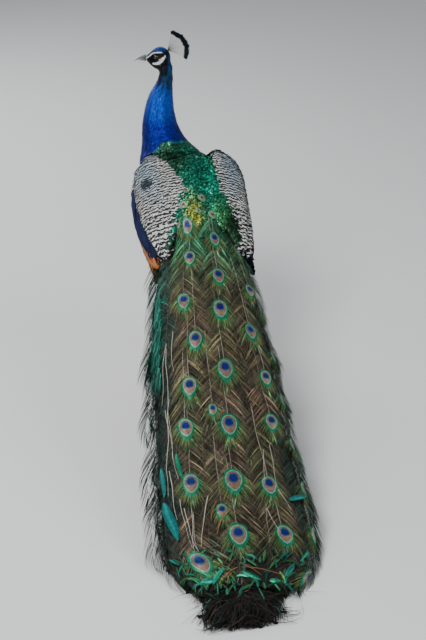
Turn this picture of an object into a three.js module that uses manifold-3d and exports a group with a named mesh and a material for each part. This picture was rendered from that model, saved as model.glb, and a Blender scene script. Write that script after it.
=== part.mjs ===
// A life-size adult male Indian peafowl, standing on a level floor with its head turned to its left
// and its folded train trailing behind. Millimetres. In the bird's own frame +X is its left, -Y its
// front and +Z up, with the floor at z = 0 and the median plane of the trunk at x = 0. The exported
// group is then moved so that its origin is the bottom centre of the whole bird.
import * as THREE from 'three';
import { LoftGeometry } from 'three/addons/geometries/LoftGeometry.js';
import { mergeVertices } from 'three/addons/utils/BufferGeometryUtils.js';
import Module from 'manifold-3d';

const wasm = await Module();
wasm.setup();

// ---------------------------------------------------------------- driving dimensions

const GAP = 0.4; // clearance between neighbouring pieces
const FINEST = 0.15; // detail smaller than this is smoothed away
const LEFT = 1;
const RIGHT = -1;

const TRUNK_PITCH = THREE.MathUtils.degToRad(26); // rise of the trunk's axis towards the breast
const RUMP_CENTRE = new THREE.Vector3(0, 0, 405); // where the trunk's own axis starts

// Trunk sections: distance forward of the rump centre, how far the axis bends left, half width, height above and depth below.
const TRUNK_SECTIONS = [
  { ahead: -92, side: 0, wide: 14, above: 18, below: 10 },
  { ahead: -60, side: 0, wide: 48, above: 32, below: 30 },
  { ahead: 0, side: 0, wide: 84, above: 48, below: 60 },
  { ahead: 60, side: 0, wide: 108, above: 72, below: 86 },
  { ahead: 125, side: 2, wide: 122, above: 95, below: 108 },
  { ahead: 190, side: 1, wide: 130, above: 118, below: 120 },
  { ahead: 245, side: -8, wide: 134, above: 134, below: 118 },
];

// Neck sections: centre in the bird's frame, half width, depth to the nape side and the throat side.
const NECK_SECTIONS = [
  { at: [17, -263, 560], wide: 98, above: 101, below: 86 },
  { at: [37, -280, 606], wide: 69, above: 71, below: 66 },
  { at: [47, -286, 640], wide: 57, above: 56, below: 57 },
  { at: [52, -288, 676], wide: 49, above: 49, below: 50 },
  { at: [51, -288, 724], wide: 40, above: 41, below: 42 },
  { at: [47, -287, 754], wide: 34, above: 34, below: 35 },
  { at: [40, -285, 778], wide: 26, above: 27, below: 27 },
  { at: [37, -283, 798], wide: 23, above: 24, below: 24 },
  { at: [37, -283, 824], wide: 22.5, above: 22.5, below: 22.5 },
  { at: [43, -286, 849], wide: 19, above: 19, below: 19 },
];

const HEAD_TURN = THREE.MathUtils.degToRad(70); // how far the head is turned to the left of straight ahead
const HEAD_CENTRE = new THREE.Vector3(62, -292.6, 858); // between the two eyes
// Head sections: distance forward of the eyes, crown and throat heights above them, half width.
const HEAD_SECTIONS = [
  { ahead: -40, top: 2, bottom: -12, wide: 6 },
  { ahead: -37, top: 14, bottom: -26, wide: 15 },
  { ahead: -29, top: 24.5, bottom: -35, wide: 21.5 },
  { ahead: -17, top: 31, bottom: -40, wide: 24.5 },
  { ahead: -5, top: 31, bottom: -40, wide: 24.5 },
  { ahead: 7, top: 26, bottom: -35.5, wide: 21.5 },
  { ahead: 17, top: 15.5, bottom: -26, wide: 16.5 },
  { ahead: 25, top: 8.5, bottom: -19.5, wide: 12 },
  { ahead: 30, top: 5, bottom: -15, wide: 8.8 },
];
const BILL_UPPER_SECTIONS = [
  { ahead: 22, top: 7, bottom: -8, wide: 7.8 },
  { ahead: 33, top: 5, bottom: -8.3, wide: 6.6 },
  { ahead: 42, top: 1.8, bottom: -8.8, wide: 5.3 },
  { ahead: 51, top: -3.6, bottom: -10.6, wide: 3.9 },
  { ahead: 58, top: -9.6, bottom: -14, wide: 2.6 },
  { ahead: 62.5, top: -15, bottom: -18.3, wide: 1.5 },
  { ahead: 65, top: -20, bottom: -21.4, wide: 0.6 },
];
const BILL_LOWER_SECTIONS = [
  { ahead: 22, top: -8.7, bottom: -15.5, wide: 7.2 },
  { ahead: 33, top: -9, bottom: -14.3, wide: 6 },
  { ahead: 42, top: -9.6, bottom: -13.6, wide: 4.6 },
  { ahead: 49, top: -11.2, bottom: -13.9, wide: 3.1 },
  { ahead: 53, top: -13, bottom: -14.3, wide: 1.4 },
];
const EYE_RADIUS = 7.5;
const EYE_SIDE = 16.3; // from the head's median plane to the eyeball's centre
const EYE_RISE = 5; // above the head's own axis

const CREST = {
  ahead: -30, // the root, on the rear of the crown
  up: 21,
  feathers: 12,
  reach: 63, // root to tip
  lowest: THREE.MathUtils.degToRad(-22), // of the fan, measured up from straight behind
  highest: THREE.MathUtils.degToRad(82),
  shaft: 1.3,
  tipLength: 15,
  tipWidth: 7.2,
  tipThickness: 3,
};

// Folded wing, in the trunk's frame. Each section is an arc of an oval round the trunk's axis.
// lift moves the oval's centre up, turn is measured from straight up round the side of the body.
const WING_SECTIONS = [
  { ahead: 282, lift: 26, wide: 122, high: 84, thick: 22 },
  { ahead: 262, lift: 22, wide: 144, high: 98, thick: 44 },
  { ahead: 220, lift: 16, wide: 161, high: 110, thick: 58 },
  { ahead: 165, lift: 8, wide: 171, high: 110, thick: 62 },
  { ahead: 100, lift: 2, wide: 175, high: 98, thick: 60 },
  { ahead: 40, lift: -3, wide: 173, high: 84, thick: 50 },
  { ahead: -15, lift: -6, wide: 166, high: 70, thick: 36 },
  { ahead: -65, lift: -10, wide: 157, high: 54, thick: 22 },
  { ahead: -115, lift: -16, wide: 150, high: 40, thick: 11 },
];
// The three feather tracts of a wing: the stretch of the wing that each covers, where its upper and
// lower edges run (degrees from straight up, at the front, middle and rear), and how far it stands
// inside the outermost tract.
const WING_TRACTS = [
  {
    name: 'coverts',
    front: 282,
    rear: -72,
    upper: [38, 14, 46],
    lower: [88, 71.5, 54],
    inset: 0,
    arcs: 5,
    colour: 0x8d8a86,
  },
  {
    name: 'secondaries',
    front: 248,
    rear: -96,
    upper: [87, 72, 54.5],
    lower: [100, 105, 76],
    inset: 4,
    arcs: 4,
    colour: 0x101f4a,
  },
  {
    name: 'primaries',
    front: 215,
    rear: -108,
    upper: [100, 105.5, 80],
    lower: [110, 128, 124],
    inset: 3,
    arcs: 3,
    colour: 0xa35a2c,
  },
];
// The right wing is held a little up and out at the shoulder.
const RIGHT_SHOULDER = { ahead: 215, reach: 95, out: 15, up: 14 };
const TRACT_NARROWEST = 0.35; // share of its spread that a tract keeps at its rounded ends
const TRACT_SECTIONS = 7;

// The train trails behind the rump, swung to the bird's left.
const TRAIN_SWING = THREE.MathUtils.degToRad(8.5); // at the rump, from straight behind
const TRAIN_STRAIGHTENING = THREE.MathUtils.degToRad(2); // by which the swing has dropped at the end
const TRAIN_REACH = 1200; // along the floor, rump to tip
const TRAIN_START = -120; // the rump coverts begin this far ahead of the rump
// Train sections: distance behind the rump, half width, height of the top and of the underside.
const TRAIN_SECTIONS = [
  { behind: -120, wide: 40, top: 512, base: 440 },
  { behind: -60, wide: 66, top: 494, base: 420 },
  { behind: 0, wide: 96, top: 464, base: 390 },
  { behind: 90, wide: 126, top: 425, base: 352 },
  { behind: 190, wide: 144, top: 380, base: 306 },
  { behind: 300, wide: 153, top: 330, base: 262 },
  { behind: 420, wide: 161, top: 272, base: 208 },
  { behind: 550, wide: 170, top: 214, base: 155 },
  { behind: 690, wide: 178, top: 156, base: 103 },
  { behind: 830, wide: 188, top: 106, base: 58 },
  { behind: 940, wide: 190, top: 74, base: 26 },
  { behind: 1010, wide: 178, top: 58, base: 0 },
  { behind: 1070, wide: 148, top: 46, base: 0 },
  { behind: 1120, wide: 108, top: 36, base: 0 },
];
const TRAIN_CUTS = [130, 400, 690, 940]; // distances behind the rump where the train is divided
const TRAIN_NAMES = ['train_base', 'train_upper', 'train_middle', 'train_lower', 'train_end'];
const TRAIN_COLOURS = [0x2e8f52, 0x2f6b45, 0x4b4a33, 0x47503a, 0x3a4a38];
const TRAIN_SIDES = 14;
const TRAIN_STEPS = 16;

// Single feathers that reach past the train's edge and end: how far behind the rump each tip
// comes, how far out from the train's centreline, and the direction it points.
const EDGE_FEATHERS = [
  { behind: 470, out: 162, turn: 8 },
  { behind: 620, out: 172, turn: 9 },
  { behind: 770, out: 184, turn: 11 },
  { behind: 900, out: 194, turn: 14 },
  { behind: 1010, out: 188, turn: 12 },
  { behind: 1085, out: 150, turn: 6 },
];
const END_FEATHERS = [
  { behind: 1130, out: 106, turn: 4 },
  { behind: 1158, out: 68, turn: 2 },
  { behind: 1176, out: 32, turn: 0 },
];
const FEATHER_LENGTH = 170;
const FEATHER_WIDTH = 30; // half width of one feather's vane
const FEATHER_THICK = 5;

// The ragged bunch of dark plumes on the floor at the train's end.
const TANGLE = { behind: 1145, side: 20, wide: 98, long: 60, high: 34 };
const TANGLE_PLUMES = [-74, -48, -24, 0, 22, 46, 72]; // degrees from straight behind

const TAIL = { length: 400, root: 36, tip: 104, thick: 13 }; // the brown tail fan under the train

const HOCK_HEIGHT = 165;
const THIGH_SIDE = 58;
const STRIDE = 16; // how far the left foot is ahead of the mean, and the right foot behind it
const FOOT_BEHIND_FRONT = -122; // mean place of the ankle pads along y
const SHANK_RADIUS = 7.5;
// Toes: name, direction from straight ahead (outwards), length, radius at the root.
const TOES = [
  { name: 'inner', turn: -26, length: 50, radius: 6 },
  { name: 'middle', turn: 2, length: 68, radius: 6.5 },
  { name: 'outer', turn: 30, length: 54, radius: 6 },
  { name: 'hind', turn: 172, length: 26, radius: 5 },
];
const CLAW_LENGTH = 15;
const SPUR = { height: 62, length: 20, radius: 4 };

const COLOURS = {
  neck: 0x0b3fc0,
  head: 0x0a2f9c,
  trunk: 0x0f4a46,
  rump: 0x1d5a3c,
  bill: 0x9b948a,
  eye: 0x20140c,
  crest: 0x07303a,
  thigh: 0xb59a78,
  leg: 0x7d736a,
  claw: 0x3a332d,
  tail: 0x4a3527,
  tangle: 0x241a16,
};

// ---------------------------------------------------------------- solids

const up = new THREE.Vector3(0, 0, 1);
const leftward = new THREE.Vector3(1, 0, 0);

// A manifold-3d solid from a closed three.js geometry.
function solidOf(geometry) {
  const bare = new THREE.BufferGeometry();
  bare.setAttribute('position', geometry.getAttribute('position'));
  bare.setIndex(geometry.getIndex());
  const merged = mergeVertices(bare, 1e-4);
  const triVerts = new Uint32Array(merged.index.array);
  const vertProperties = merged.attributes.position.array;
  return new wasm.Manifold(new wasm.Mesh({ numProp: 3, vertProperties, triVerts }));
}

function geometryOf(solid) {
  const { vertProperties, triVerts } = solid.simplify(FINEST).getMesh();
  const geometry = new THREE.BufferGeometry();
  geometry.setAttribute('position', new THREE.BufferAttribute(new Float32Array(vertProperties), 3));
  geometry.setIndex(new THREE.BufferAttribute(new Uint32Array(triVerts), 1));
  geometry.computeVertexNormals();
  return geometry;
}

// A closed skin over a list of rings of points, given in either turning direction.
function loft(sections) {
  const [first, second] = sections;
  const turning = new THREE.Vector3();
  const advance = new THREE.Vector3();
  first.forEach((point, i) => {
    const next = first[(i + 1) % first.length];
    turning.add(new THREE.Vector3().crossVectors(point.clone().sub(first[0]), next.clone().sub(first[0])));
    advance.add(second[i]).sub(point);
  });
  const rings = turning.dot(advance) > 0 ? sections : sections.map((ring) => [...ring].reverse());
  return solidOf(new LoftGeometry(rings, { capStart: true, capEnd: true }));
}

const union = (solids) => solids.reduce((all, solid) => all.add(solid));
const without = (solid, ...cutters) => cutters.reduce((left, cutter) => left.subtract(cutter), solid);

// The space that a form needs, with the gap all round it. The form is a function of its growth.
const roomFor = (form) => form(0).add(form(GAP));

// The biggest body of a solid, without the slivers that a cut may leave.
function mainBody(solid) {
  return solid.decompose().reduce((best, body) => (body.volume() > best.volume() ? body : best));
}

// The slice of a solid between two planes square to a direction, short of each plane by half a gap.
function slice(solid, direction, from, to) {
  const ahead = direction.toArray();
  const back = direction.clone().negate().toArray();
  let left = solid;
  if (from !== null) left = left.trimByPlane(ahead, from + GAP / 2);
  if (to !== null) left = left.trimByPlane(back, -to + GAP / 2);
  return left;
}

// An oval ring: half width across, separate heights to either side of the centre.
function oval(centre, across, upward, { wide, above, below }, sides, grow = 0) {
  const points = [];
  for (let i = 0; i < sides; i++) {
    const angle = (i / sides) * Math.PI * 2;
    const sine = Math.sin(angle);
    const high = (sine > 0 ? above : below) + grow;
    const point = centre.clone();
    point.addScaledVector(across, Math.cos(angle) * (wide + grow));
    point.addScaledVector(upward, sine * high);
    points.push(point);
  }
  return points;
}

// A smooth curve through a list of vectors, read with t from 0 to 1 over the list.
const smooth = (vectors) => new THREE.CatmullRomCurve3(vectors, false, 'catmullrom', 0.5);

// A point given in the trunk's own frame: ahead along its axis, to the left, and up from the axis.
function inTrunk(ahead, side, rise) {
  const point = new THREE.Vector3(side, 0, 0).add(RUMP_CENTRE);
  point.y += -ahead * Math.cos(TRUNK_PITCH) + rise * Math.sin(TRUNK_PITCH);
  point.z += ahead * Math.sin(TRUNK_PITCH) + rise * Math.cos(TRUNK_PITCH);
  return point;
}

// ---------------------------------------------------------------- trunk, neck and head

const FLESH_SIDES = 16;
const FLESH_STEPS = 20;

// Trunk and neck as one form round a spine that runs from the tail root up to the head.
function trunkAndNeck(grow = 0) {
  const trunk = TRUNK_SECTIONS.map((s) => ({ ...s, centre: inTrunk(s.ahead, s.side, 0) }));
  const neck = NECK_SECTIONS.map((s) => ({ ...s, centre: new THREE.Vector3(...s.at) }));
  const stations = [...trunk, ...neck];
  const spine = smooth(stations.map((s) => s.centre));
  const girth = smooth(stations.map((s) => new THREE.Vector3(s.wide, s.above, s.below)));
  const sections = [];
  for (let i = 0; i <= FLESH_STEPS; i++) {
    const t = i / FLESH_STEPS;
    const size = girth.getPoint(t);
    const backward = new THREE.Vector3().crossVectors(leftward, spine.getTangent(t)).normalize();
    const shape = { wide: size.x, above: size.y, below: size.z };
    sections.push(oval(spine.getPoint(t), leftward, backward, shape, FLESH_SIDES, grow));
  }
  return loft(sections);
}

// The head's own frame: local x ahead, y to the head's left, z up.
const headPlace = new THREE.Matrix4()
  .makeRotationZ(HEAD_TURN - Math.PI / 2)
  .setPosition(HEAD_CENTRE);

// A form along the head's own x axis, from sections with a top, a bottom and a half width.
function alongHead(list, sides, grow = 0) {
  const ahead = smooth(list.map((s) => new THREE.Vector3(s.ahead, s.top, s.bottom)));
  const width = smooth(list.map((s) => new THREE.Vector3(s.wide, 0, 0)));
  const steps = list.length + 1;
  const sections = [];
  for (let i = 0; i <= steps; i++) {
    const place = ahead.getPoint(i / steps);
    const middle = (place.y + place.z) / 2;
    const half = (place.y - place.z) / 2;
    const centre = new THREE.Vector3(place.x, 0, middle);
    const shape = { wide: width.getPoint(i / steps).x, above: half, below: half };
    sections.push(oval(centre, new THREE.Vector3(0, 1, 0), up, shape, sides, grow));
  }
  return loft(sections);
}

const placed = (solid, matrix) => solid.transform(matrix.elements);

const HEAD_SIDES = 14;
const headRoom = roomFor((grow) => alongHead(HEAD_SECTIONS, HEAD_SIDES, grow));

function eyeball(side, grow = 0) {
  const ball = new THREE.SphereGeometry(EYE_RADIUS + grow, 10, 7);
  ball.rotateX(Math.PI / 2);
  ball.translate(0, side * EYE_SIDE, EYE_RISE);
  return solidOf(ball);
}

const fleshForm = (grow) => trunkAndNeck(grow).add(placed(alongHead(HEAD_SECTIONS, HEAD_SIDES, grow), headPlace));
const flesh = fleshForm(0);
const fleshGrown = roomFor(fleshForm);
const sockets = union([LEFT, RIGHT].map((side) => placed(eyeball(side, GAP), headPlace)));

// ---------------------------------------------------------------- bill and crest

const BILL_SIDES = 8;
const billUpper = without(alongHead(BILL_UPPER_SECTIONS, BILL_SIDES), headRoom);
const billLower = without(alongHead(BILL_LOWER_SECTIONS, BILL_SIDES), headRoom);

// One crest feather: a bare shaft with a small dark vane on its end, in the head's median plane.
function crestFeather(angle) {
  const bareLength = CREST.reach - CREST.tipLength;
  const shaft = new THREE.CylinderGeometry(CREST.shaft * 0.6, CREST.shaft, bareLength + 3, 4);
  shaft.translate(0, (bareLength + 3) / 2, 0);
  const vane = new THREE.SphereGeometry(1, 5, 4);
  vane.scale(CREST.tipThickness / 2, CREST.tipLength / 2, CREST.tipWidth / 2);
  vane.translate(0, CREST.reach - CREST.tipLength / 2, 0);
  const feather = union([solidOf(shaft), solidOf(vane)]);
  // The feather stands along +y: turn it to point behind the head and up by its angle.
  const turn = new THREE.Matrix4().makeBasis(
    new THREE.Vector3(0, 1, 0),
    new THREE.Vector3(-Math.cos(angle), 0, Math.sin(angle)),
    new THREE.Vector3(Math.sin(angle), 0, Math.cos(angle)),
  );
  turn.setPosition(CREST.ahead, 0, CREST.up);
  return placed(feather, turn);
}

function crest() {
  const feathers = [];
  for (let i = 0; i < CREST.feathers; i++) {
    const share = i / (CREST.feathers - 1);
    feathers.push(crestFeather(THREE.MathUtils.lerp(CREST.lowest, CREST.highest, share)));
  }
  return mainBody(without(union(feathers), headRoom));
}

// ---------------------------------------------------------------- wings

const wingOval = smooth(WING_SECTIONS.map((s) => new THREE.Vector3(s.lift, s.wide, s.high)));
const wingAlong = smooth(WING_SECTIONS.map((s) => new THREE.Vector3(s.ahead, s.thick, 0)));

// The wing's oval and thickness at a distance ahead of the rump, found by walking the smooth curve.
function wingAt(ahead) {
  let low = 0;
  let high = 1;
  for (let i = 0; i < 30; i++) {
    const middle = (low + high) / 2;
    if (wingAlong.getPoint(middle).x > ahead) low = middle;
    else high = middle;
  }
  const size = wingOval.getPoint(low);
  return { lift: size.x, wide: size.y, high: size.z, thick: wingAlong.getPoint(low).y };
}

// The value of a front, middle, rear triple at a share of the way back, as a parabola through them.
function bend([front, middle, rear], share) {
  const falling = 2 * (share - 0.5) * (share - 1) * front;
  const rising = 2 * share * (share - 0.5) * rear;
  return falling + 4 * share * (1 - share) * middle + rising;
}

// How much of the right shoulder's lift a wing has at a distance ahead of the rump.
function shoulderShare(ahead, side) {
  return side === RIGHT ? Math.exp(-(((ahead - RIGHT_SHOULDER.ahead) / RIGHT_SHOULDER.reach) ** 2)) : 0;
}

function wingTract(tract, side, grow = 0) {
  const sections = [];
  for (let i = 0; i <= TRACT_SECTIONS; i++) {
    const share = i / TRACT_SECTIONS;
    const ahead = THREE.MathUtils.lerp(tract.front + grow, tract.rear - grow, share);
    const shape = wingAt(ahead);
    const held = shoulderShare(ahead, side);
    const ending = Math.min(share / 0.16, (1 - share) / 0.12, 1);
    const spread = THREE.MathUtils.lerp(TRACT_NARROWEST, 1, Math.sqrt(Math.max(ending, 0)));
    const halfTurn = ((bend(tract.lower, share) - bend(tract.upper, share)) * spread) / 2;
    const midTurn = (bend(tract.lower, share) + bend(tract.upper, share)) / 2;
    const turnFrom = midTurn - halfTurn - grow * 0.4;
    const turnTo = midTurn + halfTurn + grow * 0.4;
    const outer = [];
    const inner = [];
    for (let j = 0; j <= tract.arcs; j++) {
      const across = j / tract.arcs;
      const turn = THREE.MathUtils.degToRad(THREE.MathUtils.lerp(turnFrom, turnTo, across));
      const rounding = 5 * (2 * across - 1) ** 6;
      const skin = -tract.inset - rounding + grow;
      const outWide = shape.wide + skin + held * RIGHT_SHOULDER.out;
      const outHigh = shape.high + skin + held * RIGHT_SHOULDER.up;
      const deep = Math.max(shape.thick - tract.inset - rounding, 2.5) + 2 * grow + held * RIGHT_SHOULDER.out;
      outer.push(inTrunk(ahead, side * outWide * Math.sin(turn), shape.lift + outHigh * Math.cos(turn)));
      const inWide = outWide - deep;
      const inHigh = Math.max(outHigh - deep, 4);
      inner.push(inTrunk(ahead, side * inWide * Math.sin(turn), shape.lift + inHigh * Math.cos(turn)));
    }
    sections.push([...outer, ...inner.reverse()]);
  }
  return loft(sections);
}

// ---------------------------------------------------------------- train

const trainSize = smooth(TRAIN_SECTIONS.map((s) => new THREE.Vector3(s.wide, s.top, s.base)));
const trainBehind = smooth(TRAIN_SECTIONS.map((s) => new THREE.Vector3(s.behind, 0, 0)));

// The train's centreline in plan: a point and the direction it runs in, at a distance behind the rump.
function trainLine(behind) {
  const share = Math.max(behind, 0) / TRAIN_REACH;
  const swing = TRAIN_SWING - (TRAIN_STRAIGHTENING * share) / 2;
  const heading = TRAIN_SWING - TRAIN_STRAIGHTENING * share;
  const lead = Math.min(behind, 0); // ahead of the rump the coverts lie straight along the back
  return {
    x: Math.max(behind, 0) * Math.sin(swing),
    y: Math.max(behind, 0) * Math.cos(swing) + lead,
    across: new THREE.Vector3(Math.cos(heading), -Math.sin(heading), 0),
    along: new THREE.Vector3(Math.sin(heading), Math.cos(heading), 0),
  };
}

// One cross-section: an arched top and a shallow underside, flat where it lies on the floor.
function trainSection(behind, wide, top, base, grow) {
  const line = trainLine(behind);
  const points = [];
  for (let i = 0; i < TRAIN_SIDES; i++) {
    const angle = (i / TRAIN_SIDES) * Math.PI * 2;
    const out = Math.cos(angle);
    const waist = base + (top - base) * 0.38;
    const rise = Math.sin(angle);
    const height = rise > 0 ? waist + (top - waist) * rise : waist + (waist - base) * Math.max(rise * 1.35, -1);
    const sideways = out * (wide + grow);
    const lift = rise > 0 ? grow : base > 0 ? -grow : 0;
    points.push(
      new THREE.Vector3(
        line.x + line.across.x * sideways,
        line.y + line.across.y * sideways,
        Math.max(height + lift, 0),
      ),
    );
  }
  return points;
}

function trainForm(grow = 0) {
  const sections = [];
  for (let i = 0; i <= TRAIN_STEPS; i++) {
    const t = i / TRAIN_STEPS;
    const size = trainSize.getPoint(t);
    sections.push(trainSection(trainBehind.getPoint(t).x, size.x, size.y, Math.max(size.z, 0), grow));
  }
  return loft(sections);
}

// A leaf-shaped feather whose tip comes at a place on the train's plan, its underside at a height
// that grows from the tip's to the root's.
function looseFeather({ behind, out, turn }, side, tipHeight, rootHeight) {
  const line = trainLine(behind);
  const tip = new THREE.Vector3(line.x, line.y, 0).addScaledVector(line.across, side * out);
  const direction = line.along.clone().applyAxisAngle(up, THREE.MathUtils.degToRad(-side * turn));
  const across = new THREE.Vector3().crossVectors(direction, up);
  const leaf = [
    { share: 0, half: 0.3 },
    { share: 0.45, half: 0.75 },
    { share: 0.75, half: 1 },
    { share: 0.92, half: 0.72 },
    { share: 1, half: 0.15 },
  ];
  const profile = [[-1, 0], [-0.6, 1], [0.6, 1], [1, 0]];
  const sections = leaf.map(({ share, half }) => {
    const centre = tip.clone().addScaledVector(direction, (share - 1) * FEATHER_LENGTH);
    const low = THREE.MathUtils.lerp(rootHeight, tipHeight, share);
    return profile.map(([sideways, rise]) =>
      centre
        .clone()
        .addScaledVector(across, sideways * half * FEATHER_WIDTH)
        .setZ(low + rise * FEATHER_THICK),
    );
  });
  return loft(sections);
}

function trainWidthAt(behind) {
  let low = 0;
  let high = 1;
  for (let i = 0; i < 30; i++) {
    const middle = (low + high) / 2;
    if (trainBehind.getPoint(middle).x < behind) low = middle;
    else high = middle;
  }
  const size = trainSize.getPoint(low);
  return { wide: size.x, base: Math.max(size.z, 0), top: size.y };
}

// The feathers that break the train's outline, each joined to the train. They leave it at the
// level of its edge, and lie on the floor where the train does.
function fringe() {
  const feathers = [];
  const levelAt = (behind) => {
    const size = trainWidthAt(behind);
    return size.base > 2 ? size.base + (size.top - size.base) * 0.3 : 0;
  };
  for (const side of [LEFT, RIGHT]) {
    for (const feather of [...EDGE_FEATHERS, ...END_FEATHERS]) {
      const rootHeight = levelAt(feather.behind - FEATHER_LENGTH);
      feathers.push(looseFeather(feather, side, levelAt(feather.behind), rootHeight));
    }
  }
  return union(feathers);
}

function tangle(grow = 0) {
  const line = trainLine(TANGLE.behind);
  const centre = new THREE.Vector3(line.x, line.y, 0).addScaledVector(line.across, TANGLE.side);
  const heading = Math.atan2(line.along.y, line.along.x);
  const mound = new THREE.SphereGeometry(1, 12, 6);
  mound.rotateX(Math.PI / 2);
  mound.scale(TANGLE.long + grow, TANGLE.wide + grow, TANGLE.high + grow);
  mound.rotateZ(heading);
  mound.translate(centre.x, centre.y, 2);
  const plumes = TANGLE_PLUMES.map((turn) => {
    const direction = line.along.clone().applyAxisAngle(up, THREE.MathUtils.degToRad(turn));
    const across = new THREE.Vector3().crossVectors(direction, up);
    const reach = TANGLE.long + 24 + 34 * Math.abs(Math.sin(THREE.MathUtils.degToRad(turn)));
    const sections = [
      [0, 13, 16],
      [0.55, 11, 13],
      [0.85, 7, 8],
      [1, 1.5, 2],
    ].map(([share, half, high]) =>
      [[-half, 0], [-half * 0.5, high], [half * 0.5, high], [half, 0]].map(([out, rise]) =>
        centre.clone().addScaledVector(direction, share * reach).addScaledVector(across, out).setZ(rise),
      ),
    );
    return loft(sections);
  });
  return union([solidOf(mound).trimByPlane([0, 0, 1], 0), ...plumes]);
}

// The tail fan lies against the train's underside, from the tail root back.
function tailFan(grow = 0) {
  const sections = [];
  const steps = 7;
  for (let i = 0; i <= steps; i++) {
    const share = i / steps;
    const behind = THREE.MathUtils.lerp(40 - grow, TAIL.length + 40 + grow, share);
    const size = trainWidthAt(behind);
    const line = trainLine(behind);
    const rounded = Math.sqrt(1 - 0.6 * share ** 8);
    const half = THREE.MathUtils.lerp(TAIL.root, TAIL.tip, Math.sqrt(share)) * rounded + grow;
    const under = size.base + 4;
    const edge = under + 12;
    const ring = [
      [-half, edge + grow],
      [0, under + 10 + grow],
      [half, edge + grow],
      [half, edge - TAIL.thick * 0.5 - grow],
      [0, under - TAIL.thick - grow],
      [-half, edge - TAIL.thick * 0.5 - grow],
    ];
    sections.push(
      ring.map(
        ([out, height]) =>
          new THREE.Vector3(line.x + line.across.x * out, line.y + line.across.y * out, height),
      ),
    );
  }
  return loft(sections);
}

// ---------------------------------------------------------------- legs

const footPlace = (side) =>
  new THREE.Vector3(side * THIGH_SIDE, FOOT_BEHIND_FRONT - side * STRIDE, 0);
const hockPlace = (side) => new THREE.Vector3(side * (THIGH_SIDE + 2), -84 - side * STRIDE, HOCK_HEIGHT);

// A round limb through a list of centres and radii.
function limb(stations, sides, grow = 0) {
  const line = smooth(stations.map((s) => s.at));
  const girth = smooth(stations.map((s) => new THREE.Vector3(s.wide, s.deep, 0)));
  const steps = Math.round(stations.length * 1.5);
  const sections = [];
  for (let i = 0; i <= steps; i++) {
    const t = i / steps;
    const forward = new THREE.Vector3().crossVectors(leftward, line.getTangent(t)).normalize();
    const size = girth.getPoint(t);
    const shape = { wide: size.x, above: size.y, below: size.y };
    sections.push(oval(line.getPoint(t), leftward, forward, shape, sides, grow));
  }
  return loft(sections);
}

function thigh(side, grow = 0) {
  const hock = hockPlace(side);
  return limb(
    [
      { at: new THREE.Vector3(side * 46, -142, 455), wide: 34, deep: 56 },
      { at: new THREE.Vector3(side * 56, -134, 405), wide: 51, deep: 74 },
      { at: new THREE.Vector3(side * 62, -128, 350), wide: 51, deep: 69 },
      { at: new THREE.Vector3(side * 64, -116 - (side * STRIDE) / 3, 295), wide: 42, deep: 55 },
      { at: new THREE.Vector3(side * 62, -101 - (side * STRIDE) / 1.5, 238), wide: 28, deep: 35 },
      { at: new THREE.Vector3(hock.x, hock.y - 4, HOCK_HEIGHT + 24), wide: 15, deep: 18 },
      { at: new THREE.Vector3(hock.x, hock.y, HOCK_HEIGHT), wide: 11, deep: 12.5 },
    ],
    10,
    grow,
  );
}

// The bare scaly shank, from the hock down to the pad of the foot.
function shank(side, grow = 0) {
  const hock = hockPlace(side);
  const foot = footPlace(side);
  return limb(
    [
      { at: hock.clone().setZ(HOCK_HEIGHT + 4), wide: 9.5, deep: 11 },
      { at: hock.clone().setZ(HOCK_HEIGHT - 10), wide: 10, deep: 12 },
      { at: hock.clone().lerp(foot.clone().setZ(14), 0.3), wide: SHANK_RADIUS, deep: SHANK_RADIUS + 1 },
      { at: hock.clone().lerp(foot.clone().setZ(14), 0.75), wide: SHANK_RADIUS, deep: SHANK_RADIUS + 1 },
      { at: foot.clone().setZ(17), wide: 9.5, deep: 10 },
    ],
    8,
    grow,
  );
}

// One toe in the foot's own frame, running along +x from the pad, with a flat sole at z = 0.
function toe({ turn, length, radius }, side) {
  const direction = new THREE.Vector3(0, -1, 0).applyAxisAngle(up, THREE.MathUtils.degToRad(side * turn));
  const across = new THREE.Vector3().crossVectors(up, direction);
  // pads and joints swell along the toe
  const joints = [
    { share: 0, swell: 1.05 },
    { share: 0.15, swell: 1.1 },
    { share: 0.32, swell: 0.88 },
    { share: 0.45, swell: 1 },
    { share: 0.6, swell: 0.78 },
    { share: 0.74, swell: 0.88 },
    { share: 1, swell: 0.6 },
  ];
  const sections = joints.map(({ share, swell }) => {
    const size = radius * swell;
    const centre = direction.clone().multiplyScalar(share * length).setZ(size * 0.8);
    return oval(centre, across, up, { wide: size, above: size, below: size }, 6);
  });
  return loft(sections);
}

function foot(side) {
  const pad = new THREE.SphereGeometry(11, 8, 5);
  pad.rotateX(Math.PI / 2);
  pad.scale(1, 1.1, 0.85);
  pad.translate(0, 0, 7.5);
  const whole = union([solidOf(pad), ...TOES.map((t) => toe(t, side))]);
  return whole.trimByPlane([0, 0, 1], 0);
}

// A curved claw that grows from the end of a toe, clear of the floor but for its point.
function claw({ turn, length, radius }, side) {
  const direction = new THREE.Vector3(0, -1, 0).applyAxisAngle(up, THREE.MathUtils.degToRad(side * turn));
  const across = new THREE.Vector3().crossVectors(up, direction);
  const root = radius * 0.5;
  const arc = [
    [0, root + 0.6, root * 0.85],
    [0.35, root + 1.2, root * 0.72],
    [0.7, root - 0.2, root * 0.45],
    [1, 1.2, 0.5],
  ];
  const sections = arc.map(([share, height, size]) => {
    const centre = direction.clone().multiplyScalar(length + GAP + share * CLAW_LENGTH).setZ(height);
    return oval(centre, across, up, { wide: size, above: size, below: size }, 6);
  });
  return loft(sections);
}

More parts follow.
